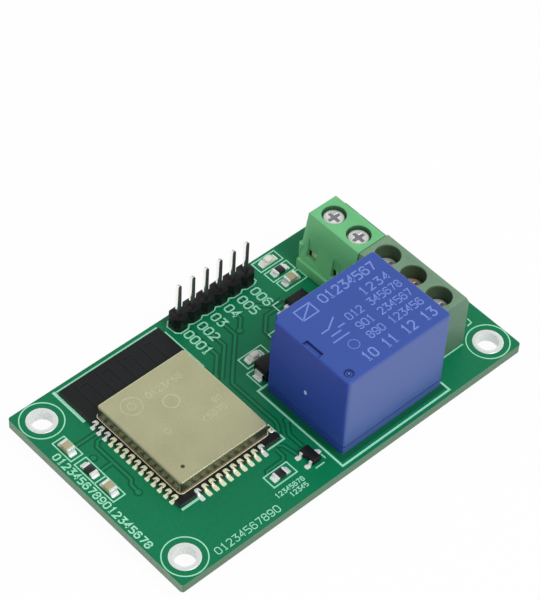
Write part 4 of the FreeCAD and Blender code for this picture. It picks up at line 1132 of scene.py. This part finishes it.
# %% [markdown]
# The module has gilded half holes round three of its edges, cut through when the module was
# sawn out. The outline is drawn once round, with an arc into the board at each half hole, and
# raised to the module's thickness. Each half hole has a thin lining with a narrow land on top.

# %% Module board
MODULE_LOW, MODULE_HIGH = node_box("module_board")
EDGE_PITCH = 1.27
EDGE_FIRST = 1.5
SIDE_COUNT = 14
FRONT_COUNT = 10
TINNED_FROM = 11
HALF_HOLE = 0.34
LINING = 0.05
LAND_HALF = 0.43
LAND_DEPTH = 0.76
LAND_CORNER = 0.55
HALF_STEPS = 10


def edge_places():
    """Each half hole: its place on the module's edge, the way out, and whether it is gilded."""
    places = []
    for index in range(SIDE_COUNT):
        y = MODULE_LOW.y + EDGE_FIRST + index * EDGE_PITCH
        places.append((Vector((MODULE_LOW.x, y)), Vector((-1, 0)), index < TINNED_FROM))
        places.append((Vector((MODULE_HIGH.x, y)), Vector((1, 0)), index < TINNED_FROM))
    middle = (MODULE_LOW.x + MODULE_HIGH.x) / 2
    for index in range(FRONT_COUNT):
        x = middle + (index - (FRONT_COUNT - 1) / 2) * EDGE_PITCH
        gilded = 0 < index < FRONT_COUNT - 1
        places.append((Vector((x, MODULE_LOW.y)), Vector((0, -1)), gilded))
    return places


def notched_outline():
    """The module's outline, front edge first, with an arc into the board at each half hole."""
    low, high = MODULE_LOW, MODULE_HIGH
    places = [foot for foot, way, gilded in edge_places()]
    front = sorted((p for p in places if p.y == low.y), key=lambda p: p.x)
    right = sorted((p for p in places if p.x == high.x), key=lambda p: p.y)
    left = sorted((p for p in places if p.x == low.x), key=lambda p: -p.y)
    corners = box_points((low.x, high.x), (low.y, high.y))
    points = []
    for corner, feet, start in zip(corners, (front, right, [], left), (180, 270, 0, 90)):
        points.append(corner)
        for foot in feet:
            points += circle_points(foot, HALF_HOLE, HALF_STEPS, start, -180)
    return points


def add_module_board():
    bm = bmesh.new()
    add_slab(bm, notched_outline(), MODULE_LOW.z, MODULE_HIGH.z)
    finished_piece(bm, "module_board_notched", "module_laminate",
                   stands_for=("module_board",), smooth=25)


add_module_board()

# %% [markdown]
# Solder climbs up the back of each half hole from a pad on the board. It is steep at the wall,
# hollow where it turns, then thin and almost square at the pad's end. Beside it the hollow lining
# has a dark finish of painted shade, which stands for the dark gap under the module that it
# mirrors. On the module's top it runs out in a land that is longer than it is wide. Most joints
# look creamy; the last ones of both rows and the outer ones of the front row are plain tin. The
# same flowing shape, only wider, ends each small chip and holds the feet of the bent leads.

# %% Solder round the module and at the chips
TONGUE_INSIDE = 0.29
TONGUE_REACH = {"side": 0.5, "front": 1.05}
TONGUE_THIN = 0.08
TONGUE_RISE = 0.64
TONGUE_HOLLOW = 0.28
TONGUE_HALF = (0.27, 0.35)
FLOW_ROWS = 12
FLOW_COLUMNS = 7
CHIP_SOLDER_REACH = 0.52
CHIP_SOLDER_HEIGHT = 0.46
LEAD_SOLDER_REACH = (-0.4, 0.32)
LEAD_SOLDER_SIDE = 0.15
SOLDER_SMOOTH = 60


def squared(share):
    """Moves a sine or cosine outwards, so that a circle turns into a rounded square."""
    return math.copysign(abs(share) ** LAND_CORNER, share)


def add_half_hole(lands, painted_shade_linings, foot, way):
    """The half hole's lining, and the land that it runs out in on the module's top."""
    top = MODULE_HIGH.z
    inner, outer = HALF_HOLE - LINING, HALF_HOLE + 0.01
    across = Vector((-way.y, way.x))
    walls, pads = [], []
    for step in range(HALF_STEPS + 1):
        angle = math.pi * step / HALF_STEPS
        side, depth = math.cos(angle), math.sin(angle)
        arm = across * side - way * depth
        walls.append([painted_shade_linings.verts.new(spot(*(foot + arm * radius), z))
                      for radius, z in ((inner, 0.0), (inner, top - 0.02), (outer, top - 0.02),
                                        (outer, 0.0))])
        rim = across * squared(side) * LAND_HALF - way * squared(depth) * LAND_DEPTH
        pads.append([lands.verts.new(spot(*place, z)) for place, z in (
            (foot + arm * inner, top - 0.03), (foot + arm * (inner + 0.03), top + 0.03),
            (foot + rim * 0.95, top + 0.03), (foot + rim, top - 0.01))])
    bridge(painted_shade_linings, walls)
    bridge(lands, pads)


def add_flow(bm, foot, way, reach, height_at, half_at):
    """Solder from one reach to another; its height and half width follow the reach."""
    across = Vector((-way.y, way.x))
    rings = []
    for row in range(FLOW_ROWS):
        far = reach[0] + (reach[1] - reach[0]) * row / (FLOW_ROWS - 1)
        height, half = height_at(far), half_at(far)
        middle = foot + way * far
        ring = []
        for column in range(FLOW_COLUMNS):
            side = column / (FLOW_COLUMNS - 1) * 2 - 1
            ring.append(bm.verts.new(spot(*(middle + across * side * half),
                                          height * (1 - 0.4 * abs(side) ** 3))))
        for side in (1, -1):
            ring.append(bm.verts.new(spot(*(middle + across * side * half), SUNK)))
        rings.append(ring)
    bridge(bm, rings)


def tongue_height(far):
    return TONGUE_THIN + TONGUE_RISE * math.exp(-(far + TONGUE_INSIDE) / TONGUE_HOLLOW)


def tongue_half(far):
    """Narrow in the half hole and wider on the pad."""
    narrow, wide = TONGUE_HALF
    return narrow + (wide - narrow) * min(1.0, max(0.0, (far + 0.2) / 0.5))


def add_module_joints():
    """Every half hole with its tongue of solder, a little rounded at the pad's end."""
    meshes = {name: bmesh.new() for name in ("gold_solder", "solder", "gold_shade")}
    for foot, way, gilded in edge_places():
        bm = meshes["gold_solder" if gilded else "solder"]
        end = TONGUE_REACH["front" if way.y else "side"]
        # The half hole's lining takes gold_shade, a painted dark shade.
        add_half_hole(bm, meshes["gold_shade"], foot, way)
        add_flow(bm, foot, way, (-TONGUE_INSIDE, end), tongue_height,
                 lambda far: tongue_half(far) - 0.1 * max(0.0, (far - end + 0.2) / 0.2) ** 2)
    finished_piece(meshes["gold_solder"], "module_joints_gilded", "gold_solder",
                   stands_for=("module_solder_joints",),
                   smooth=SOLDER_SMOOTH)
    finished_piece(meshes["solder"], "module_joints_tinned", "solder",
                   smooth=SOLDER_SMOOTH)
    finished_piece(meshes["gold_shade"], "module_half_holes", "gold_shade")


def way_out(box, start, beside):
    """Where solder leaves a small part: the foot, the way from start, and half the width.

    The foot is on the box's far side, or on the side beside start.
    """
    low, high = box
    middle = middle_of(box)
    gap = middle - start
    along = 0 if abs(gap.x) > abs(gap.y) else 1
    way = Vector((0.0, 0.0))
    way[along] = math.copysign(1, gap[along])
    foot = middle.copy()
    foot[along] = (low if (way[along] > 0) == beside else high)[along]
    return foot, way, (high[1 - along] - low[1 - along]) / 2


def add_chip_joints():
    """A hollow flow of solder at each end of the chips and lights."""
    chips = [middle_of(box) for node in ("resistors", "capacitors", "power_led", "relay_led")
             for box in loose_parts(node)]
    bm = bmesh.new()
    boxes = loose_parts("chip_solder_joints")
    for box in boxes:
        nearest = min(chips, key=lambda chip: (chip - middle_of(box)).length)
        foot, way, half = way_out(box, nearest, beside=True)
        add_flow(bm, foot, way, (-0.02, CHIP_SOLDER_REACH),
                 lambda far: 0.04 + CHIP_SOLDER_HEIGHT * (1 - max(0, far) / 0.6) ** 2.6,
                 lambda far: half - 0.12 * (max(0, far) / CHIP_SOLDER_REACH) ** 3)
    finished_piece(bm, "chip_joints_flowed", "solder",
                   stands_for=("chip_solder_joints",), smooth=SOLDER_SMOOTH)
    print(len(boxes), "chip joints")


def add_lead_joints():
    """Solder under and round the flat foot of each bent lead."""
    bm = bmesh.new()
    for node in ("transistor", "regulator"):
        body = middle_of(node_box(node))
        for box in loose_parts(node + "_leads"):
            foot, way, half = way_out(box, body, beside=False)
            half += LEAD_SOLDER_SIDE
            add_flow(bm, foot, way, LEAD_SOLDER_REACH,
                     lambda far: 0.05 + 0.14 * max(0.0, 1 - abs(far) / 0.3),
                     lambda far: half - 0.14 * (max(0, far) / LEAD_SOLDER_REACH[1]) ** 3)
    finished_piece(bm, "lead_joints_flowed", "solder", smooth=SOLDER_SMOOTH)


add_module_joints()
add_chip_joints()
add_lead_joints()

# %% [markdown]
# The shield's top has a small hole near its front corner, which marks where the count of the
# contacts begins; it is drawn as a dark disc of painted shade. Laser marks are only a shade
# lighter than the metal round them, so the rings and the rows of counting numbers have a barely
# lighter finish. A thin bright strip runs round the lip at the foot of the walls: a painted
# highlight on the lip's edge.

# %% Marks on the shield
SHIELD_LOW, SHIELD_HIGH = node_box("module_shield")
ETCH = 0.006
ETCH_PEN = 0.12
RING_STEPS = 36
PIT_PLACE = (11.25, 12.95)
PIT_RADIUS = 0.3
SHIELD_NUMBERS = [("0123456", (15.4, 24.7), 0.95), ("45678", (18.6, 16.7), 0.9),
                  ("90", (21.8, 18.4), 0.8)]
SHIELD_RINGS = [((12.7, 25.2), 1.55, 0.14), ((12.7, 25.2), 0.6, 0.1), ((17.4, 22.4), 1.15, 0.2),
                ((13.6, 18.8), 0.45, 0.1)]
LIP_TOP = 0.95
LIP_INSET = 0.1
LIP_CORNER = 0.6
LIP_HIGHLIGHT = (0.16, -0.01, 0.03, 0.04)


def mark_shield():
    marks = bmesh.new()
    low, high = SHIELD_HIGH.z + SUNK, SHIELD_HIGH.z + ETCH
    for number, place, height in SHIELD_NUMBERS:
        write_number(marks, number, place, ALONG, height, height * 0.95, ETCH_PEN, low, high)
    for centre, radius, width in SHIELD_RINGS:
        add_strip(marks, circle_points(centre, radius, RING_STEPS), width, low, high, True)
    finished_piece(marks, "shield_marks", "shield_etch")
    # Painted shade: the small hole is a dark disc on the shield's top.
    pit = bmesh.new()
    add_disc(pit, PIT_PLACE, PIT_RADIUS, low, high)
    finished_piece(pit, "shield_pit_shade", "pit_shade")


def highlight_the_lip():
    """A thin bright strip round the lip, outside the walls: a painted highlight on the lip's
    edge.
    """
    width, sunk, proud, slope = LIP_HIGHLIGHT
    bm = bmesh.new()
    add_strip(bm, rounded_box(SHIELD_LOW, SHIELD_HIGH, -LIP_INSET, LIP_CORNER), width,
              LIP_TOP + sunk, LIP_TOP + proud, True, slope)
    finished_piece(bm, "shield_lip_highlight", "lip_highlight")


mark_shield()
highlight_the_lip()

# %% [markdown]
# The relay's top carries print in a paler blue: rows of counting numbers, and a little wiring
# diagram of what is inside, a coil and a contact that changes over. The oval dome on the left
# face is the scar where the plastic entered the mould; its pale colour is a painted highlight.
# At the foot the base's rim meets the cover in a seam, drawn as a thin dark strip of painted
# shade. The recess's walls and the dimple's ring and hole are dark with painted shade too.

# %% Relay print
RELAY_LOW, RELAY_HIGH = node_box("relay_cover")
RELAY_TOP = RELAY_HIGH.z
RELAY_INK = (RELAY_TOP + SUNK, RELAY_TOP + 0.012)
RELAY_ROWS = [
    ("01234567", (37.9, 14.8), ALONG, 1.45, 1.3, 0.24),
    ("1234", (43.1, 12.3), ALONG, 1.3, 1.4, 0.2),
    ("012 345678", (38.5, 10.3), ALONG, 1.2, 1.02, 0.17),
    ("901 234567", (38.5, 8.2), ALONG, 1.2, 1.02, 0.17),
    ("890 123456", (38.5, 6.1), ALONG, 1.2, 1.02, 0.17),
    ("10 11 12 13", (35.4, 3.5), ALONG, 1.5, 1.22, 0.24),
]
RECESS_Y = (8.22, 11.48)
RECESS_DEPTH = 1.1
RECESS_SINK = 0.35
RECESS_WALL = 0.12
DIMPLE_PLACE = (31.99, 3.65)
DIMPLE_STEPS = 28
DIMPLE_RING = (0.64, 0.2)
DIMPLE_HOLE = 0.26
DIMPLE_DOT = 0.13
SCAR_PLACE = (10.0, 6.0)
SCAR_SIZE = (0.05, 0.28, 0.42)
FOOT_TOP = 1.2
FOOT_INSET = 0.08
FOOT_CORNER = 0.52
SEAM_HEIGHT = 0.14
DIAGRAM_PEN = 0.22
DIAGRAM_RING = ((36.0, 6.9), 0.8, 0.1)
DIAGRAM = [
    [(33.6, 14.2), (36.4, 14.2), (36.4, 16.2), (33.6, 16.2), (33.6, 14.2)],
    [(33.8, 14.4), (36.2, 16.0)],
    [(33.9, 11.0), (35.2, 11.0), (37.2, 12.2)],
    [(36.4, 10.4), (37.6, 10.4)],
    [(34.0, 8.8), (37.0, 8.8)],
    [(34.6, 9.8), (36.4, 9.8)],
]


def print_relay():
    ink = bmesh.new()
    for row in RELAY_ROWS:
        write_number(ink, *row, *RELAY_INK)
    for points in DIAGRAM:
        add_strip(ink, points, DIAGRAM_PEN, *RELAY_INK)
    centre, radius, pen = DIAGRAM_RING
    add_strip(ink, circle_points(centre, radius, DIMPLE_STEPS), pen, *RELAY_INK, True)
    finished_piece(ink, "relay_print", "relay_ink")


def shape_relay_top():
    """The recess's thin lip, painted shade on its walls and in the dimple's ring and hole, and
    the dimple's pale dot.
    """
    floor = RELAY_TOP - RECESS_SINK
    lip = bmesh.new()
    add_slab(lip, box_points((RELAY_LOW.x + 0.005, RELAY_LOW.x + 0.16), RECESS_Y), floor,
             RELAY_TOP - 0.03)
    finished_piece(lip, "relay_recess_lip", "relay_plastic")
    shade = bmesh.new()
    front, back = RECESS_Y[0] + RECESS_WALL / 2, RECESS_Y[1] - RECESS_WALL / 2
    outer, inner = RELAY_LOW.x + 0.2, RELAY_LOW.x + RECESS_DEPTH - RECESS_WALL / 2
    add_strip(shade, [(outer, front), (inner, front), (inner, back), (outer, back)], RECESS_WALL,
              floor, RELAY_TOP - 0.04)
    radius, pen = DIMPLE_RING
    add_strip(shade, circle_points(DIMPLE_PLACE, radius, DIMPLE_STEPS), pen, RELAY_TOP - 0.15,
              RELAY_TOP - 0.05, True)
    add_disc(shade, DIMPLE_PLACE, DIMPLE_HOLE, RELAY_TOP - 0.15, RELAY_TOP - 0.09)
    finished_piece(shade, "relay_shades", "relay_shade")
    dot = bmesh.new()
    add_disc(dot, DIMPLE_PLACE, DIMPLE_DOT, RELAY_TOP - 0.1, RELAY_TOP - 0.05)
    finished_piece(dot, "relay_dimple_dot", "relay_ink")


def band_relay_foot():
    """The base's rim, which shows between the cover and the board, and the seam above it, a strip
    of painted shade.
    """
    line = rounded_box(RELAY_LOW, RELAY_HIGH, -FOOT_INSET, FOOT_CORNER)
    for name, finish, width, low, high in (
            ("relay_foot_rim", "relay_plastic", 0.24, SUNK, FOOT_TOP),
            ("relay_foot_seam_shade", "relay_shade", 0.18, FOOT_TOP - 0.02, FOOT_TOP + SEAM_HEIGHT)):
        bm = bmesh.new()
        add_strip(bm, line, width, low, high, True)
        finished_piece(bm, name, finish)


def add_gate_scar():
    """A shallow oval dome on the relay's left face, pale with a painted highlight."""
    scar = bmesh.new()
    bmesh.ops.create_uvsphere(scar, u_segments=20, v_segments=12, radius=MM)
    bmesh.ops.scale(scar, vec=SCAR_SIZE, verts=scar.verts)
    bmesh.ops.translate(scar, vec=spot(RELAY_LOW.x, *SCAR_PLACE), verts=scar.verts)
    finished_piece(scar, "relay_gate_scar", "gate_scar_highlight")


print_relay()
shape_relay_top()
band_relay_foot()
add_gate_scar()

# %% [markdown]
# Inside the terminal blocks' wells no light reaches the green plastic, so the walls look much
# darker than the outside. A thin lining of painted shade in a darker colour stands for that. A
# clear green web closes the upper part of each peep slot, so only a bright spot of the bar shows
# under it, and the cross in each screw's head is dark at its bottom, with painted shade.
# The middle screw of the three pole block shines coppery in the photograph.

# %% Terminal blocks
WELL_SHADE_DEEP = 0.06
WELL_STEPS = 32
BLOCKS = {
    "supply": {"poles": 2, "row": 53.6, "well": 1.85, "floor": 8.56, "shade": "well_shade_bright",
               "web": (4.1, 6.1), "plastic": "supply_plastic"},
    "load": {"poles": 3, "row": 54.05, "well": 1.95, "floor": 6.86, "shade": "well_shade_sage",
             "web": (3.3, 5.3), "plastic": "load_plastic"},
}
BLOCK_TOP = 10.2
PEEP_SHIFT = 0.35
PEEP_HALF = 1.0
WEB_X = (-3.2, -3.04)
COPPERY_SCREW = "load_terminal_screw_2"
SCREW_RADIUS = 0.1
CROSS_HALF = 0.24
CROSS_DEPTHS = (0.59, 0.14)
CROSS_ARM_EDGE = 0.68


def plus_points(centre, arm, half):
    """The twelve corners of a cross, a quarter turn for every three."""
    corners = [Vector((-half, -arm)), Vector((half, -arm)), Vector((half, -half))]
    return [centre + Matrix.Rotation(math.radians(90 * quarter), 2) @ corner
            for quarter in range(4) for corner in corners]


def dress_block(name, block):
    painted_shade_linings = bmesh.new()
    webs = bmesh.new()
    for index in range(block["poles"]):
        screw = f"{name}_terminal_screw_{index + 1}"
        low, high = node_box(screw)
        centre = middle_of((low, high))
        well = block["well"] - 0.005
        # Painted shade: a dark lining on the wall of each well.
        add_turned(painted_shade_linings, centre, [
            (well, block["floor"]), (well, BLOCK_TOP - 0.14),
            (well - WELL_SHADE_DEEP, BLOCK_TOP - 0.2), (well - WELL_SHADE_DEEP, block["floor"])],
            WELL_STEPS)
        x_range = [block["row"] + x for x in WEB_X]
        y_range = [centre.y + PEEP_SHIFT + side * PEEP_HALF for side in (-1, 1)]
        add_slab(webs, box_points(x_range, y_range), *block["web"])
        # Painted shade: a dark cross at the bottom of the screw's slot.
        cross = bmesh.new()
        arm = (high.x - low.x) / 2 - CROSS_ARM_EDGE
        floor, rim = [high.z - depth for depth in CROSS_DEPTHS]
        add_slab(cross, plus_points(centre, arm, CROSS_HALF), floor, rim)
        finished_piece(cross, screw + "_slot_shade", "slot_shade", BODY_OF[screw])
    finished_piece(painted_shade_linings, name + "_well_shade", block["shade"])
    finished_piece(webs, name + "_peep_webs", block["plastic"])


for name, block in BLOCKS.items():
    dress_block(name, block)
    for index in range(block["poles"]):
        screw = f"{name}_terminal_screw_{index + 1}"
        rounded_copy(screw, SCREW_RADIUS,
                     finish="coppery_tone" if screw == COPPERY_SCREW else None)

# %% [markdown]
# The underside isn't in the photograph. A board like this carries the switched current in wide
# tracks between the relay and the terminals, and narrow ones for the signals. The diode has a
# pale band at the end that its current leaves by.

# %% Underside and diode band
PAD_RADIUS = 1.12
PAD_DROP = 0.04
BAND_X = (0.95, 0.5)
BAND_SIDE = 0.16
BAND_DEPTH = (-0.02, 0.015)
UNDER_TRACKS = [
    (2.6, [(33.0, 9.85), (45.6, 9.85), (48.8, 13.35), (51.4, 13.35)]),
    (2.2, [(47.2, 15.85), (49.4, 18.43), (51.4, 18.43)]),
    (2.2, [(47.2, 3.85), (49.0, 6.4), (51.4, 8.27)]),
    (1.2, [(51.0, 28.97), (46.0, 28.97), (42.0, 32.6), (41.6, 34.18)]),
    (1.2, [(51.0, 23.89), (38.0, 23.89), (33.9, 28.0), (33.94, 34.18)]),
    (0.5, [(28.86, 34.18), (28.86, 30.0), (22.0, 23.2), (22.0, 14.0)]),
    (0.5, [(31.4, 34.18), (31.4, 29.0), (24.0, 21.6), (24.0, 12.0)]),
    (0.5, [(35.04, 15.85), (35.04, 19.0), (30.5, 23.5), (28.0, 23.5)]),
    (0.5, [(35.04, 3.85), (35.04, 2.0), (26.0, 2.0), (22.0, 6.0), (12.0, 6.0)]),
]


def lay_under_tracks():
    ridges = bmesh.new()
    for index, (width, points) in enumerate(UNDER_TRACKS):
        add_strip(ridges, points, width, UNDER - SUNK,
                  UNDER - TRACK_HEIGHT - index * TRACK_LIFT, slope=TRACK_SLOPE)
    finished_piece(ridges, "under_tracks", "track_mask")
    pads = bmesh.new()
    for box in loose_parts("tail_solder_joints"):
        add_disc(pads, middle_of(box), PAD_RADIUS, UNDER - PAD_DROP, UNDER - SUNK)
    finished_piece(pads, "under_pads", "tinned_copper")


def band_diode():
    low, high = node_box("diode")
    band = bmesh.new()
    x_range = [high.x - x for x in BAND_X]
    add_slab(band, box_points(x_range, (low.y + BAND_SIDE, high.y - BAND_SIDE)),
             *[high.z + step for step in BAND_DEPTH])
    finished_piece(band, "diode_band", "diode_band")


lay_under_tracks()
band_diode()
